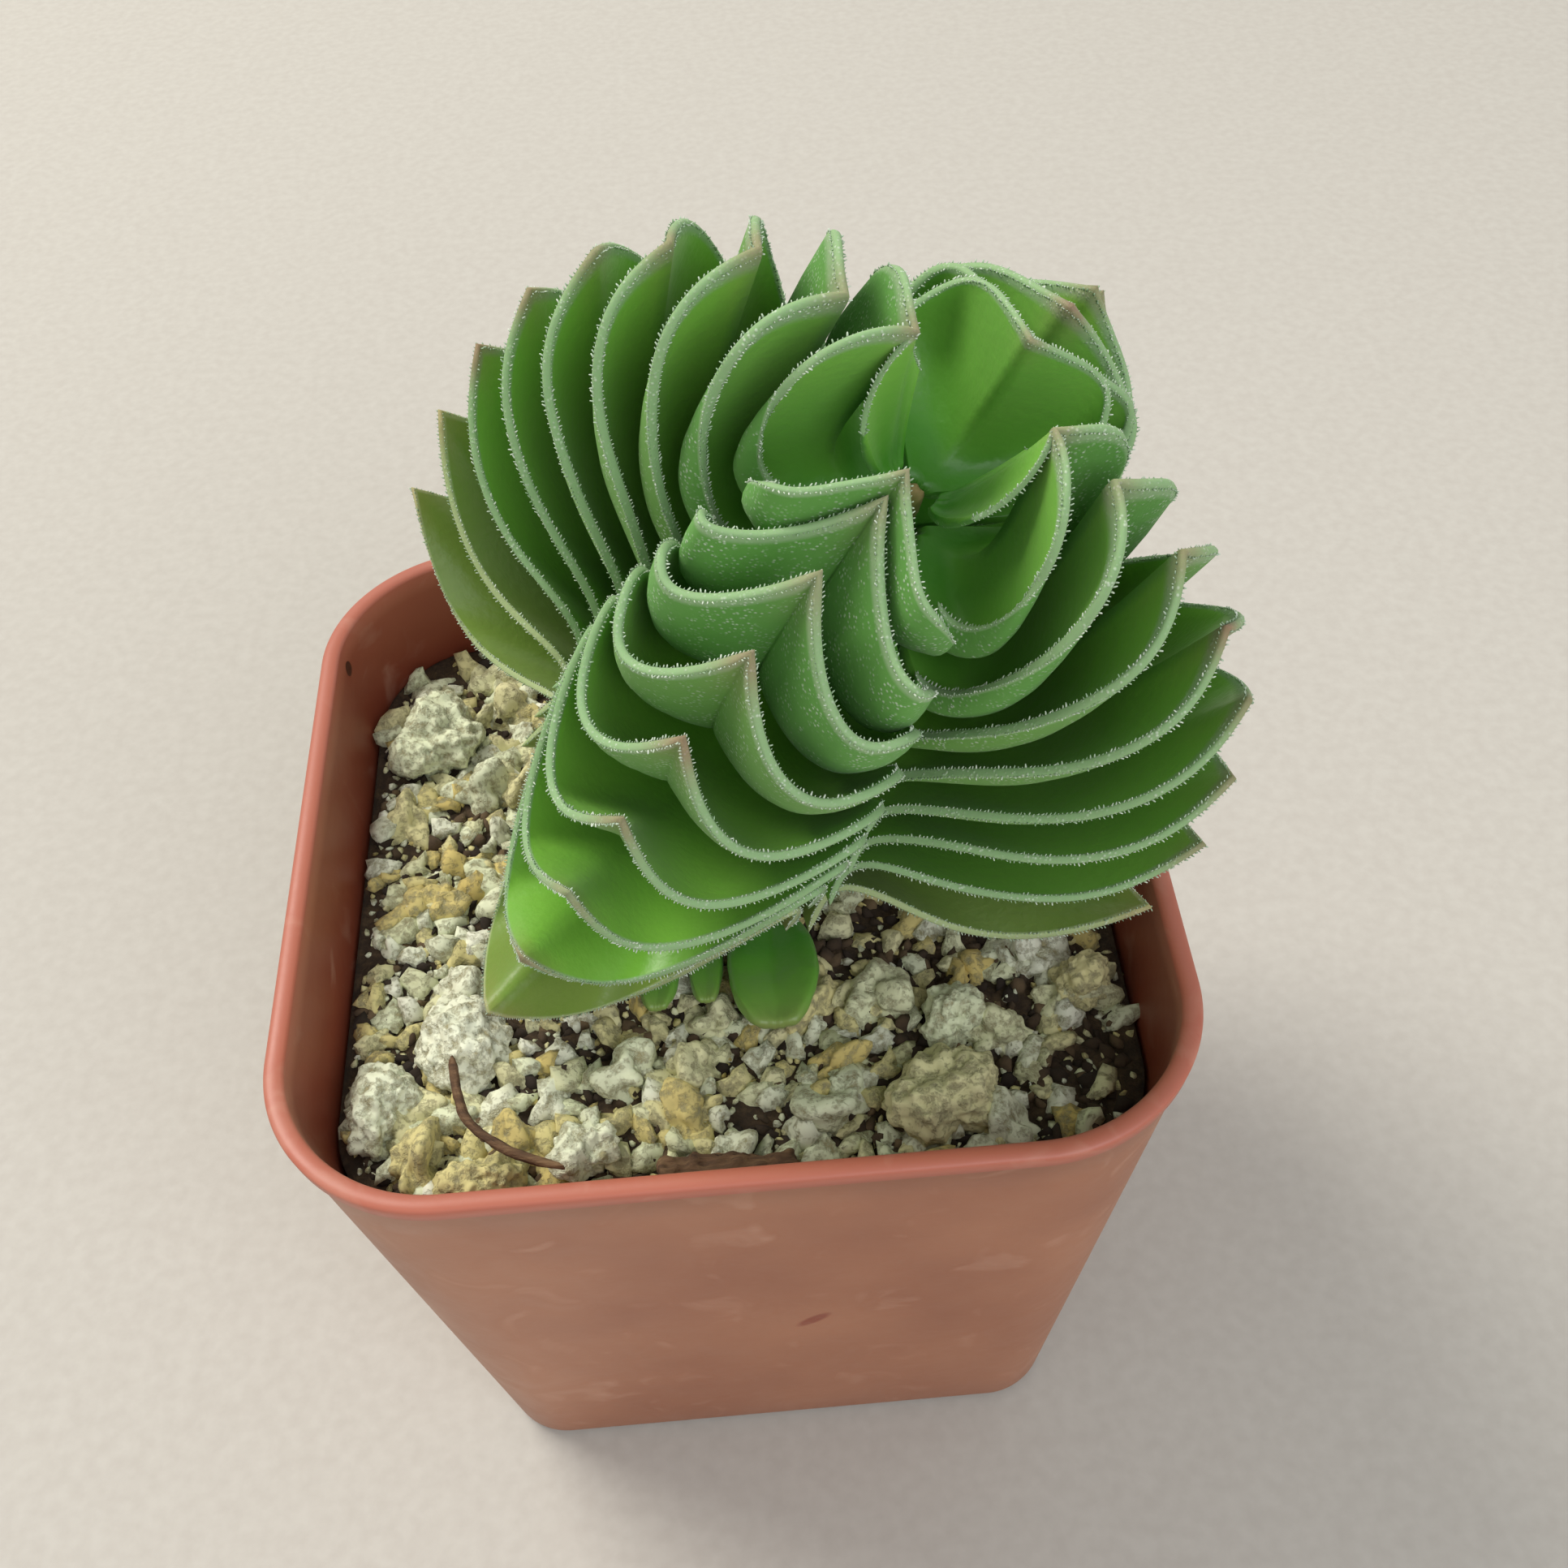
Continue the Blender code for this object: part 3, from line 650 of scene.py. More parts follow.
# %% Leaf skins
def leaf_skin(name, shaded_green, light, under, rim_colour, tip_colour):
    """A leaf's cuticle; the ages differ only in their colours."""
    material, tree = new_material(name)
    where = add(tree, "ShaderNodeTexCoord").outputs["Object"]
    measured = {
        title: add(tree, "ShaderNodeAttribute", attribute_name=title).outputs["Fac"]
        for title in ("on_rim", "near_tip", "underside", "along")
    }
    # painted shade: the upper side runs from a darker green at the stem, where the crowded leaves shade it,
    # to a lighter green at the edge; broad noise adds real uneven tone
    broad = add(tree, "ShaderNodeTexNoise", {"Vector": where, "Scale": 170.0, "Detail": 4.0})
    outer = add(tree, "ShaderNodeMapRange", {"Value": measured["along"], "From Min": 0.3, "From Max": 0.98})
    depth = add(tree, "ShaderNodeMath", {0: broad, 1: 0.5, 2: outer}, operation="MULTIPLY_ADD")
    depth = add(tree, "ShaderNodeMath", {0: depth, 1: 0.25}, operation="SUBTRACT", use_clamp=True)
    upper = add(
        tree, "ShaderNodeMix", {"Factor": depth, "A": linear(shaded_green), "B": linear(light)}, data_type="RGBA"
    )
    skin = add(
        tree, "ShaderNodeMix", {"Factor": measured["underside"], "A": upper, "B": linear(under)},
        data_type="RGBA",
    )
    skin = add(
        tree, "ShaderNodeMix", {"Factor": measured["on_rim"], "A": skin, "B": linear(rim_colour)},
        data_type="RGBA",
    )
    papillae = add(tree, "ShaderNodeTexVoronoi", {"Vector": where, "Scale": 4300.0})
    dots = add(
        tree, "ShaderNodeMapRange",
        {"Value": papillae, "From Min": 0.12, "From Max": 0.40, "To Min": 1.0, "To Max": 0.0},
    )
    patches = add(tree, "ShaderNodeTexNoise", {"Vector": where, "Scale": 900.0, "Detail": 2.0})
    patches = add(tree, "ShaderNodeMapRange", {"Value": patches, "From Min": 0.40, "From Max": 0.66})
    velvet = add(
        tree, "ShaderNodeMath", {0: measured["underside"], 1: measured["on_rim"]}, operation="MAXIMUM"
    )
    speckle = add(tree, "ShaderNodeMath", {0: dots, 1: patches}, operation="MULTIPLY")
    speckle = add(tree, "ShaderNodeMath", {0: speckle, 1: velvet}, operation="MULTIPLY")
    faint = add(tree, "ShaderNodeMath", {0: speckle, 1: 0.7}, operation="MULTIPLY")
    skin = add(tree, "ShaderNodeMix", {"Factor": faint, "A": skin, "B": linear("#cfdcc8")}, data_type="RGBA")
    flush = add(tree, "ShaderNodeMath", {0: measured["near_tip"], 1: broad}, operation="MULTIPLY")
    flush = add(tree, "ShaderNodeMath", {0: flush, 1: 1.3}, operation="MULTIPLY", use_clamp=True)
    skin = add(tree, "ShaderNodeMix", {"Factor": flush, "A": skin, "B": linear(tip_colour)}, data_type="RGBA")
    gloss = add(tree, "ShaderNodeMapRange", {"Value": velvet, "To Min": 0.36, "To Max": 0.75})
    cells = add(tree, "ShaderNodeTexNoise", {"Vector": where, "Scale": 2000.0, "Detail": 2.0})
    height = add(tree, "ShaderNodeMath", {0: speckle, 1: 2.0, 2: cells}, operation="MULTIPLY_ADD")
    bump = add(tree, "ShaderNodeBump", {"Height": height, "Strength": 0.3, "Distance": 0.00012})
    shader = add(
        tree, "ShaderNodeBsdfPrincipled",
        {"Base Color": skin, "Roughness": gloss, "Normal": bump, "IOR": 1.42, "Subsurface Weight": 0.12,
         "Subsurface Radius": (0.4, 1.0, 0.2), "Subsurface Scale": 0.0012, "Sheen Weight": 0.05,
         "Sheen Roughness": 0.5},
    )
    add(tree, "ShaderNodeOutputMaterial", {"Surface": shader})
    return material


# the first colour of each skin is the painted shade near the stem
young_skin = leaf_skin("cuticle_young_leaf", "#3f8020", "#72aa42", "#5a923f", "#84a474", "#8a6a58")
grown_skin = leaf_skin("cuticle_grown_leaf", "#3d8012", "#74ac3c", "#61923f", "#84a474", "#8a6250")
aged_skin = leaf_skin("cuticle_aged_leaf", "#4c6c1e", "#728e3c", "#7c8a42", "#9aaa78", "#957850")
print("leaf skins:", young_skin.name, grown_skin.name, aged_skin.name)

# %% Make every leaf
OLDEST_NODE = 18
GROWN_NODE = 6
AGED_NODE = 16
rim_lines = {0: [], 1: []}
leaf_count = 0
for node in range(OLDEST_NODE + 1):
    front_back = node % 2
    skin = young_skin if node < GROWN_NODE else grown_skin if node < AGED_NODE else aged_skin
    for number, side in enumerate(("front", "back") if front_back else ("right", "left")):
        cad_name = "leaf_%s_%02d" % (side, node)
        if cad_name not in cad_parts:
            continue
        turn = number * math.pi + (0.0 if front_back else math.pi / 2 + RANK_SKEW)
        mesh, lines = leaf_mesh(cad_name + "_blade", node, front_back, turn, 40 * node + number)
        add_piece(cad_name + "_blade", mesh, skin, [cad_name])
        rim_lines[front_back] += lines
        leaf_count += 1
print(leaf_count, "leaves of about", len(mesh.polygons), "faces")

# %% [markdown]
# ## Hairs on the rims
# The rims carry a fringe of tiny blunt hairs. There are thousands, so a geometry node tree
# makes them: each rim becomes a curve, the curve is resampled at the hair spacing, and one
# small cone stands at each point. The heading out of the rim is stored on the points, and a
# random tilt keeps the fringe from looking combed.

# %% Hair material
hair_wax, tree = new_material("waxy_hair")
where = add(tree, "ShaderNodeTexCoord").outputs["Object"]
shade = add(tree, "ShaderNodeTexNoise", {"Vector": where, "Scale": 500.0})
shade = add(tree, "ShaderNodeValToRGB", {"Fac": shade}, stops=[(0.35, "#8fab88"), (0.65, "#d3ddcc")])
shader = add(tree, "ShaderNodeBsdfPrincipled", {"Base Color": shade, "Roughness": 0.6})
add(tree, "ShaderNodeOutputMaterial", {"Surface": shader})

# %% The fringe tree
fringe, given, fringe_sockets = new_tree(
    "rim_fringe",
    {"Spacing": "Float", "Hair Length": "Float", "Hair Radius": "Float", "Tilt": "Vector",
     "Seed": "Int", "Material": "Material"},
)
curve = add(fringe, "GeometryNodeMeshToCurve", {"Mesh": given["Geometry"]})
stations = add(
    fringe, "GeometryNodeResampleCurve", {"Curve": curve, "Length": given["Spacing"]}, mode="LENGTH"
)
spots = add(fringe, "GeometryNodeCurveToPoints", {"Curve": stations}, mode="EVALUATED")
hair = add(
    fringe, "GeometryNodeMeshCone",
    {"Vertices": 4, "Radius Top": 0.02 * MM, "Radius Bottom": given["Hair Radius"],
     "Depth": given["Hair Length"]},
)
outward = add(fringe, "GeometryNodeInputNamedAttribute", {"Name": "outward"}, data_type="FLOAT_VECTOR")
opposite = add(fringe, "ShaderNodeVectorMath", {0: given["Tilt"], "Scale": -1.0}, operation="SCALE")
stray = add(
    fringe, "FunctionNodeRandomValue", {"Min": opposite, "Max": given["Tilt"], "Seed": given["Seed"]},
    data_type="FLOAT_VECTOR",
)
heading = add(fringe, "ShaderNodeVectorMath", {0: outward.outputs["Attribute"], 1: stray}, operation="ADD")
aim = add(fringe, "FunctionNodeAlignRotationToVector", {"Vector": heading}, axis="Z")
size = add(
    fringe, "FunctionNodeRandomValue", {"Min": 0.5, "Max": 1.5, "Seed": given["Seed"]}, data_type="FLOAT"
)
placed = add(
    fringe, "GeometryNodeInstanceOnPoints",
    {"Points": spots, "Instance": hair.outputs["Mesh"], "Rotation": aim, "Scale": size},
)
real = add(fringe, "GeometryNodeRealizeInstances", {"Geometry": placed})
dressed = add(fringe, "GeometryNodeSetMaterial", {"Geometry": real, "Material": given["Material"]})
add(fringe, "NodeGroupOutput", {"Geometry": dressed})

# %% Grow the fringe on every rim
HAIR_SPACING = 0.21
HAIR_LENGTH = 0.13
HAIR_RADIUS = 0.038
HAIR_LEAN = 0.9
BARE_END = 2
for front_back, label in ((1, "front_back"), (0, "left_right")):
    points, edges, headings = [], [], []
    for line, push, skin_normal in rim_lines[front_back]:
        start = len(points)
        push = push / (np.linalg.norm(push, axis=-1, keepdims=True) + 1e-9)
        out = (push + HAIR_LEAN * skin_normal)[BARE_END:-BARE_END]
        points += (line[BARE_END:-BARE_END] * MM).tolist()
        headings += (out / np.linalg.norm(out, axis=-1, keepdims=True)).tolist()
        edges += [(start + i, start + i + 1) for i in range(len(out) - 1)]
    mesh = bpy.data.meshes.new("rim_lines")
    mesh.from_pydata(points, edges, [])
    data = mesh.attributes.new("outward", "FLOAT_VECTOR", "POINT").data
    data.foreach_set("vector", np.array(headings, dtype=np.float32).ravel())
    made = run_tree(
        mesh, fringe, fringe_sockets,
        {"Spacing": HAIR_SPACING * MM, "Hair Length": HAIR_LENGTH * MM, "Hair Radius": HAIR_RADIUS * MM,
         "Tilt": (0.5, 0.5, 0.5), "Seed": 7, "Material": hair_wax},
    )
    add_piece("rim_hairs_" + label, made, hair_wax)
    print("rim hairs,", label, len(made.polygons), "faces")

# %% [markdown]
# ## Stones
# The lumps are pumice, a foamed volcanic glass. Quarrying leaves it rough and full of pores,
# and its colour runs from chalk white through cream to mustard. Each lump starts from a copy
# of its solid, so its place and size are right. The copy is closed and subdivided, and its
# points are moved by noise at three scales, from the lump's own unevenness to the pores.

# %% Pumice
pumice, tree = new_material("quarried_pumice")
where = add(tree, "ShaderNodeTexCoord").outputs["Object"]
tint = add(tree, "ShaderNodeAttribute", attribute_name="tint").outputs["Fac"]
ground = add(
    tree, "ShaderNodeValToRGB", {"Fac": tint},
    stops=[(0.0, "#e2e4d0"), (1.0, "#c8b46c"), (0.35, "#d3dab6"), (0.6, "#d4d0a0"), (0.82, "#cfc588")],
)
stain = add(tree, "ShaderNodeTexNoise", {"Vector": where, "Scale": 420.0, "Detail": 6.0, "Roughness": 0.7})
stain = add(tree, "ShaderNodeMapRange", {"Value": stain, "From Min": 0.48, "From Max": 0.80, "To Max": 0.4})
dirty = add(tree, "ShaderNodeMix", {"Factor": stain, "A": ground, "B": linear("#857c50")}, data_type="RGBA")
pores = add(tree, "ShaderNodeTexNoise", {"Vector": where, "Scale": 1500.0, "Detail": 5.0, "Roughness": 0.7})
pits = add(tree, "ShaderNodeMapRange", {"Value": pores, "From Min": 0.34, "From Max": 0.52, "To Max": 1.0})
shaded = add(tree, "ShaderNodeMix", {"Factor": pits, "A": linear("#9c9672"), "B": dirty}, data_type="RGBA")
bump = add(tree, "ShaderNodeBump", {"Height": pits, "Strength": 0.7, "Distance": 0.0002})
shader = add(tree, "ShaderNodeBsdfPrincipled", {"Base Color": shaded, "Roughness": 0.93, "Normal": bump})
add(tree, "ShaderNodeOutputMaterial", {"Surface": shader})


# %% Copy a solid, close it and make it finer
def fine_copy(node_name, levels, lumps, tint_value=0.0):
    """A merged, subdivided copy of a CAD node; lumps are (height, wavelength) in mm."""
    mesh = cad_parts[node_name].data.copy()
    bm = bmesh.new()
    bm.from_mesh(mesh)
    bmesh.ops.remove_doubles(bm, verts=bm.verts, dist=SEAM * MM)
    bm.to_mesh(mesh)
    bm.free()
    holder = holder_for(mesh)
    finer = holder.modifiers.new("finer", "SUBSURF")
    finer.levels = levels
    finer.render_levels = levels
    mesh = plain_mesh(holder)
    for vert, normal in [(v, v.normal.copy()) for v in mesh.vertices]:
        lift = sum(height * noise.noise(vert.co / (wave * MM)) for height, wave in lumps)
        vert.co += normal * lift * MM
    store_measures(mesh, {"tint": np.full(len(mesh.vertices), tint_value)})
    return mesh


STONE_RELIEF = ((0.9, 2.2), (0.45, 0.8), (0.22, 0.35))
STONE_TINTS = {
    "stone_front_right": 0.62, "stone_near_right": 0.35, "stone_left_front": 0.12, "stone_left_corner": 0.2,
    "stone_front_left": 0.8, "stone_left_back": 0.3, "stone_right": 0.7, "stone_front": 0.18,
}
for stone, tint_value in STONE_TINTS.items():
    mesh = fine_copy(stone, 3, STONE_RELIEF, tint_value)
    add_piece(stone + "_lump", mesh, pumice, [stone])
print("stones:", len(STONE_TINTS), "lumps of", len(mesh.polygons), "faces")

# %% [markdown]
# ## The mix
# The mix is peat, bark fines and grit. Its bed is one closed body: a wide stack of rings
# that the taper tree fits to the pot, with an uneven top. The top's own relief is noise at
# three scales, and the crumbs that a hand could pick up come from scattering.

# %% Peat mix
peat, tree = new_material("damp_peat_mix")
where = add(tree, "ShaderNodeTexCoord").outputs["Object"]
clods = add(tree, "ShaderNodeTexNoise", {"Vector": where, "Scale": 700.0, "Detail": 8.0, "Roughness": 0.75})
earth = add(
    tree, "ShaderNodeValToRGB", {"Fac": clods},
    stops=[(0.30, "#1e1710"), (0.75, "#6d5a40"), (0.48, "#3a2c1d"), (0.60, "#52412c")],
)
bump = add(tree, "ShaderNodeBump", {"Height": clods, "Strength": 0.9, "Distance": 0.0005})
shader = add(tree, "ShaderNodeBsdfPrincipled", {"Base Color": earth, "Roughness": 0.95, "Normal": bump})
add(tree, "ShaderNodeOutputMaterial", {"Surface": shader})

# %% The bed of mix
SOIL_LEVEL = 37.3
SOIL_BUMP = 0.7
SOIL_WAVELENGTH = 6.0
SOIL_GAP = 0.3
bed_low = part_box("soil")[0][2] / MM
half_top = (POT_BASE + (POT_WIDTH - POT_BASE) * SOIL_LEVEL / POT_HEIGHT) / 2 - WALL - SOIL_GAP
SOIL_RINGS = 70
BED_AROUND = 288
FINE_RELIEF = ((0.35, 1.5), (0.22, 0.6))
PATCH_WAVELENGTH = 7.0
PALE_LEVEL = 0.85
PALE_FADE_WIDTH = 90
DARK_PATCH = (-1.0, -14.5)
DARK_PATCH_SPREAD = 26
BARK_MIDDLE = (-2.2, -19.6)
BARK_CLEARANCE = (5.2, 1.9)


def soil_height(x, y):
    """The even bed's height in millimetres, before its fine relief."""
    return SOIL_LEVEL + SOIL_BUMP * noise.noise(Vector((x, y, 0)) / SOIL_WAVELENGTH)


def pale_share_at(x, y, place):
    """How thickly the pale grit lies: thinner to the right, in patches, and hardly on the bark."""
    if abs(x - BARK_MIDDLE[0]) < BARK_CLEARANCE[0] and abs(y - BARK_MIDDLE[1]) < BARK_CLEARANCE[1]:
        return 0.02
    share = PALE_LEVEL - x / PALE_FADE_WIDTH + 0.5 * noise.noise(place / PATCH_WAVELENGTH)
    off_patch = (x - DARK_PATCH[0]) ** 2 + (y - DARK_PATCH[1]) ** 2
    share -= 0.8 * math.exp(-off_patch / DARK_PATCH_SPREAD)
    return min(1.0, max(0.12, share))


BED_INSET = WALL + SOIL_GAP
side = [(bed_low, BED_INSET, 0, 0), (20.0, BED_INSET, 0, 0), (SOIL_LEVEL, BED_INSET, 0, 1)]
bed = tapered(side, BED_AROUND, peat)
bed_points = [Vector(v.co) / MM for v in bed.vertices]
outline = bed_points[-BED_AROUND:]
points = [tuple(point) for point in bed_points[:-BED_AROUND]]
from_wall = [0.0] * len(points)
pale_share = [0.0] * len(points)
for ring in range(SOIL_RINGS):
    shrink = 1 - ring / SOIL_RINGS
    for corner_point in outline:
        x, y = corner_point.x * shrink, corner_point.y * shrink
        place = Vector((x, y, 3.0))
        relief = sum(height * noise.noise(place / wave) for height, wave in FINE_RELIEF)
        points.append((x, y, soil_height(x, y) + relief * min(1.0, ring / 3 + 0.2)))
        from_wall.append(ring / SOIL_RINGS * half_top * MM)
        pale_share.append(pale_share_at(x, y, place))
points.append((0.0, 0.0, soil_height(0, 0)))
from_wall.append(half_top * MM)
pale_share.append(0.5)
faces = [tuple(reversed(range(BED_AROUND)))]
for ring in range(SOIL_RINGS + 1):
    for i in range(BED_AROUND):
        after = (i + 1) % BED_AROUND
        low, high = ring * BED_AROUND, (ring + 1) * BED_AROUND
        faces.append((low + i, low + after, high + after, high + i))
last = (SOIL_RINGS + 1) * BED_AROUND
faces += [(last + i, last + (i + 1) % BED_AROUND, len(points) - 1) for i in range(BED_AROUND)]
soil_mesh = bpy.data.meshes.new("soil_bed")
soil_mesh.from_pydata([tuple(c * MM for c in point) for point in points], [], faces)
store_measures(soil_mesh, {"from_wall": from_wall, "pale_share": pale_share})
add_piece("mix_bed", soil_mesh, peat, ["soil"])
print("bed:", len(faces), "faces, top", round(max(p[2] for p in points), 1), "mm")

# %% [markdown]
# ## Crumbs and grit
# Everything small that lies on the bed is scattered by one geometry node tree, run four
# times: dark crumbs of peat, grains and lumps of pumice, and fine grit. The tree spreads
# points over the top of the bed, puts one rough lump on each, turns it at random, and stores
# a random tint on it, which the material reads.

# %% The scatter tree
scatter, given, scatter_sockets = new_tree(
    "scatter_lumps",
    {"Density": "Float", "Closest": "Float", "Smallest": "Float", "Largest": "Float",
     "Roughness": "Float", "Pale Drift": "Float", "Margin": "Float", "Lump Detail": "Int",
     "Seed": "Int", "Material": "Material"},
)
away = add(scatter, "GeometryNodeInputNamedAttribute", {"Name": "from_wall"}, data_type="FLOAT")
inside = add(
    scatter, "ShaderNodeMath", {0: away.outputs["Attribute"], 1: given["Margin"]}, operation="GREATER_THAN"
)
pale = add(scatter, "GeometryNodeInputNamedAttribute", {"Name": "pale_share"}, data_type="FLOAT")
thinned = add(
    scatter, "ShaderNodeMix",
    {"Factor": given["Pale Drift"], "A": 1.0, "B": pale.outputs["Attribute"]}, data_type="FLOAT",
)
spots = add(
    scatter, "GeometryNodeDistributePointsOnFaces",
    {"Mesh": given["Geometry"], "Selection": inside, "Distance Min": given["Closest"],
     "Density Max": given["Density"], "Density Factor": thinned, "Seed": given["Seed"]},
    distribute_method="POISSON",
)
ball = add(scatter, "GeometryNodeMeshIcoSphere", {"Radius": 0.5, "Subdivisions": given["Lump Detail"]})
lump_noise = add(scatter, "ShaderNodeTexNoise", {"Scale": 1.7, "Detail": 1.0})
swell = add(scatter, "ShaderNodeMath", {0: lump_noise, 1: 0.5}, operation="SUBTRACT")
swell = add(scatter, "ShaderNodeMath", {0: swell, 1: given["Roughness"]}, operation="MULTIPLY")
normal = add(scatter, "GeometryNodeInputNormal")
push = add(scatter, "ShaderNodeVectorMath", {0: normal.outputs["Normal"], "Scale": swell}, operation="SCALE")
lump = add(scatter, "GeometryNodeSetPosition", {"Geometry": ball.outputs["Mesh"], "Offset": push})
turn_at_random = add(
    scatter, "FunctionNodeRandomValue",
    {"Min": (0.0, 0.0, 0.0), "Max": (6.28, 6.28, 6.28), "Seed": given["Seed"]}, data_type="FLOAT_VECTOR",
)
low_size, high_size = (
    add(scatter, "ShaderNodeCombineXYZ", {axis: given[title] for axis in "XYZ"})
    for title in ("Smallest", "Largest")
)
size = add(
    scatter, "FunctionNodeRandomValue", {"Min": low_size, "Max": high_size, "Seed": given["Seed"]},
    data_type="FLOAT_VECTOR",
)
placed = add(
    scatter, "GeometryNodeInstanceOnPoints",
    {"Points": spots.outputs["Points"], "Instance": lump, "Rotation": turn_at_random, "Scale": size},
)
tint_at_random = add(
    scatter, "FunctionNodeRandomValue", {"Min": 0.0, "Max": 1.0, "Seed": given["Seed"]}, data_type="FLOAT"
)
tinted = add(
    scatter, "GeometryNodeStoreNamedAttribute", {"Geometry": placed, "Name": "tint", "Value": tint_at_random},
    data_type="FLOAT", domain="INSTANCE",
)
real = add(scatter, "GeometryNodeRealizeInstances", {"Geometry": tinted})
dressed = add(scatter, "GeometryNodeSetMaterial", {"Geometry": real, "Material": given["Material"]})
add(scatter, "NodeGroupOutput", {"Geometry": dressed})

# %% Crumb material
crumb_peat, tree = new_material("dried_peat_crumb")
where = add(tree, "ShaderNodeTexCoord").outputs["Object"]
tint = add(tree, "ShaderNodeAttribute", attribute_name="tint").outputs["Fac"]
earth = add(
    tree, "ShaderNodeValToRGB", {"Fac": tint},
    stops=[(0.0, "#1d150e"), (1.0, "#8a7453"), (0.45, "#3d2f20"), (0.75, "#5d4a34")],
)
fibre = add(tree, "ShaderNodeTexNoise", {"Vector": where, "Scale": 1500.0, "Detail": 5.0})
dark = add(tree, "ShaderNodeMix", {"Factor": fibre, "A": earth, "B": linear("#2a2017")}, data_type="RGBA")
bump = add(tree, "ShaderNodeBump", {"Height": fibre, "Strength": 0.8, "Distance": 0.0002})
shader = add(tree, "ShaderNodeBsdfPrincipled", {"Base Color": dark, "Roughness": 0.95, "Normal": bump})
add(tree, "ShaderNodeOutputMaterial", {"Surface": shader})

# %% Scatter four kinds
# density is in points a square metre; closest, sizes and margin are in millimetres
KINDS = {
    "peat_crumbs": {"material": crumb_peat, "density": 1.2e6, "closest": 0.5, "sizes": (0.4, 1.4),
                    "rough": 0.9, "drift": 0.0, "margin": 0.7, "detail": 1, "seed": 11},
    "pumice_grains": {"material": pumice, "density": 9.0e5, "closest": 0.95, "sizes": (0.9, 2.5),
                      "rough": 1.3, "drift": 1.0, "margin": 0.9, "detail": 2, "seed": 23},
    "pumice_lumps": {"material": pumice, "density": 7.0e4, "closest": 2.4, "sizes": (2.2, 4.2),
                     "rough": 1.3, "drift": 1.0, "margin": 1.7, "detail": 4, "seed": 41},
    "fine_grit": {"material": pumice, "density": 3.0e6, "closest": 0.4, "sizes": (0.25, 0.75),
                  "rough": 0.8, "drift": 0.8, "margin": 0.5, "detail": 1, "seed": 31},
}
for name, kind in KINDS.items():
    material = kind["material"]
    smallest, largest = kind["sizes"]
    made = run_tree(
        soil_mesh.copy(), scatter, scatter_sockets,
        {"Density": kind["density"], "Closest": kind["closest"] * MM, "Smallest": smallest * MM,
         "Largest": largest * MM, "Roughness": kind["rough"], "Pale Drift": kind["drift"],
         "Margin": kind["margin"] * MM, "Lump Detail": kind["detail"], "Seed": kind["seed"],
         "Material": material},
    )
    add_piece(name, made, material)
    print(name, len(made.polygons), "faces")

# %% [markdown]
# ## Stem, offset shoot, bark and rootlet
# The stem is green under a brown skin, and it shows only between the lowest leaves. The
# shoot's small leaves have the same skin as the big ones. The bark strip is split pine bark,
# with fibres along it. All are finer copies of their solids, with relief of the right size.

# %% Stem skin
stem_skin, tree = new_material("corky_stem_skin")
where = add(tree, "ShaderNodeTexCoord").outputs["Object"]
rings = add(tree, "ShaderNodeTexNoise", {"Vector": where, "Scale": 500.0, "Detail": 5.0})
cork = add(
    tree, "ShaderNodeValToRGB", {"Fac": rings}, stops=[(0.35, "#4c5a24"), (0.68, "#8b7a4c"), (0.5, "#6b6a35")]
)
bump = add(tree, "ShaderNodeBump", {"Height": rings, "Strength": 0.6, "Distance": 0.0003})
shader = add(tree, "ShaderNodeBsdfPrincipled", {"Base Color": cork, "Roughness": 0.8, "Normal": bump})
add(tree, "ShaderNodeOutputMaterial", {"Surface": shader})
add_piece("stem_skin", fine_copy("stem", 2, ((0.2, 0.8), (0.1, 0.3))), stem_skin, ["stem"])

# %% Bark and rootlet
bark, tree = new_material("split_pine_bark")
where = add(tree, "ShaderNodeTexCoord").outputs["Object"]
stretched = add(tree, "ShaderNodeMapping", {"Vector": where, "Scale": (180.0, 1500.0, 1500.0)})
fibres = add(
    tree, "ShaderNodeTexNoise", {"Vector": stretched, "Scale": 1.0, "Detail": 6.0, "Roughness": 0.65}
)
wood = add(
    tree, "ShaderNodeValToRGB", {"Fac": fibres},
    stops=[(0.3, "#2e1d12"), (0.75, "#8f7250"), (0.52, "#5f452d")],
)
bump = add(tree, "ShaderNodeBump", {"Height": fibres, "Strength": 0.9, "Distance": 0.0003})
shader = add(tree, "ShaderNodeBsdfPrincipled", {"Base Color": wood, "Roughness": 0.85, "Normal": bump})
add(tree, "ShaderNodeOutputMaterial", {"Surface": shader})
splinter = fine_copy("bark_strip", 4, ((0.5, 1.4), (0.25, 0.5)))
add_piece("bark_splinter", splinter, bark, ["bark_strip"])
add_piece("dry_rootlet", fine_copy("dry_root", 2, ((0.12, 0.6), (0.05, 0.25))), bark, ["dry_root"])

# %% Offset shoot
for number in (1, 2, 3):
    mesh = fine_copy("shoot_leaf_%d" % number, 3, ((0.12, 2.0),))
    heights = np.array([v.co.y for v in mesh.vertices])
    share = (heights.max() - heights) / (heights.max() - heights.min())
    store_measures(
        mesh,
        {"along": share, "near_tip": share ** 8 * 0.7, "on_rim": share * 0, "underside": share * 0},
    )
    add_piece("shoot_blade_%d" % number, mesh, young_skin, ["shoot_leaf_%d" % number])
print("small parts done")

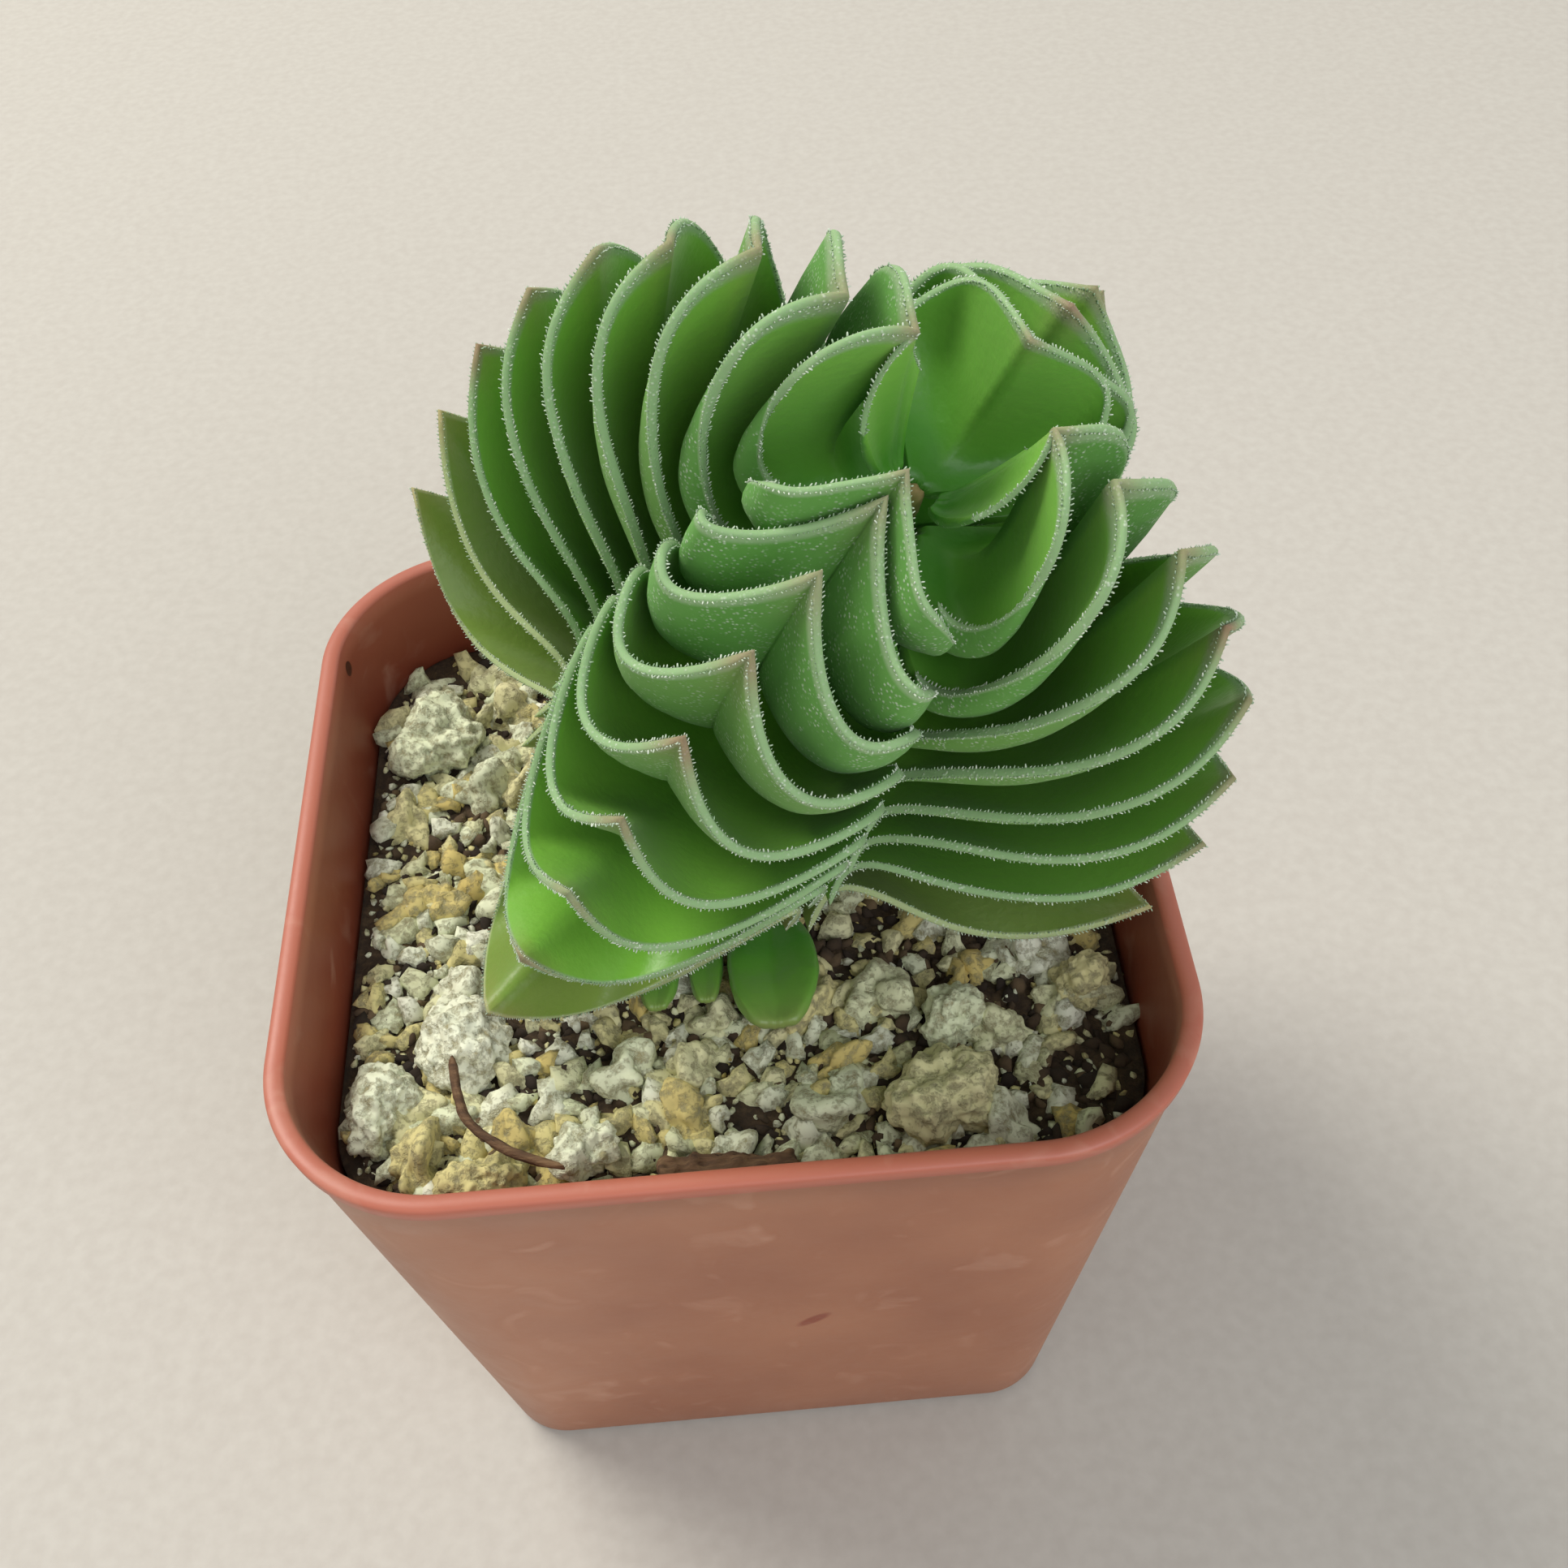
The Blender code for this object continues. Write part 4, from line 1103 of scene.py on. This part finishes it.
# %% [markdown]
# ## Floor and light
# The floor is a plain pale sheet of paper. A soft key light, high on the left and a little
# behind the plant, gives the leaves their modelling. A wide weak light from the front right
# fills the shade, and a pale world keeps the shadows open.

# %% Stage
FLOOR_HALF = 1.2
floor_paint, tree = new_material("matt_studio_paper")
where = add(tree, "ShaderNodeTexCoord").outputs["Object"]
tooth = add(tree, "ShaderNodeTexNoise", {"Vector": where, "Scale": 900.0, "Detail": 3.0})
paper = add(tree, "ShaderNodeValToRGB", {"Fac": tooth}, stops=[(0.3, "#b0aca4"), (0.7, "#b6b3ab")])
shader = add(tree, "ShaderNodeBsdfPrincipled", {"Base Color": paper, "Roughness": 0.9})
add(tree, "ShaderNodeOutputMaterial", {"Surface": shader})
floor_mesh = bpy.data.meshes.new("floor")
corners = [(x * FLOOR_HALF, y * FLOOR_HALF, -0.0002) for x, y in ((-1, -1), (1, -1), (1, 1), (-1, 1))]
floor_mesh.from_pydata(corners, [], [(0, 1, 2, 3)])
floor_mesh.materials.append(floor_paint)
floor = bpy.data.objects.new("floor", floor_mesh)
bpy.context.scene.collection.objects.link(floor)

# %% Lights
AIM = Vector((0.0, 0.0, 0.045))
LIGHTS = {
    "key": ((-0.52, 0.36, 0.82), 0.55, 9.6, "#fffaf2"),
    "fill": ((0.30, -0.55, 0.45), 0.60, 3.0, "#f4f6ff"),
}
for name, (place, width_m, watts, colour) in LIGHTS.items():
    lamp = bpy.data.lights.new(name, "AREA")
    lamp.shape = "DISK"
    lamp.size = width_m
    lamp.energy = watts
    lamp.color = linear(colour)[:3]
    holder = bpy.data.objects.new(name, lamp)
    bpy.context.scene.collection.objects.link(holder)
    holder.location = place
    holder.rotation_euler = (AIM - Vector(place)).to_track_quat("-Z", "Y").to_euler()
world = bpy.data.worlds.new("pale_room")
bpy.context.scene.world = world
world.use_nodes = True
world.node_tree.nodes["Background"].inputs["Color"].default_value = linear("#f2f1ee")
world.node_tree.nodes["Background"].inputs["Strength"].default_value = 0.72
bpy.context.scene.view_settings.view_transform = "Standard"
print("lights:", ", ".join(LIGHTS))
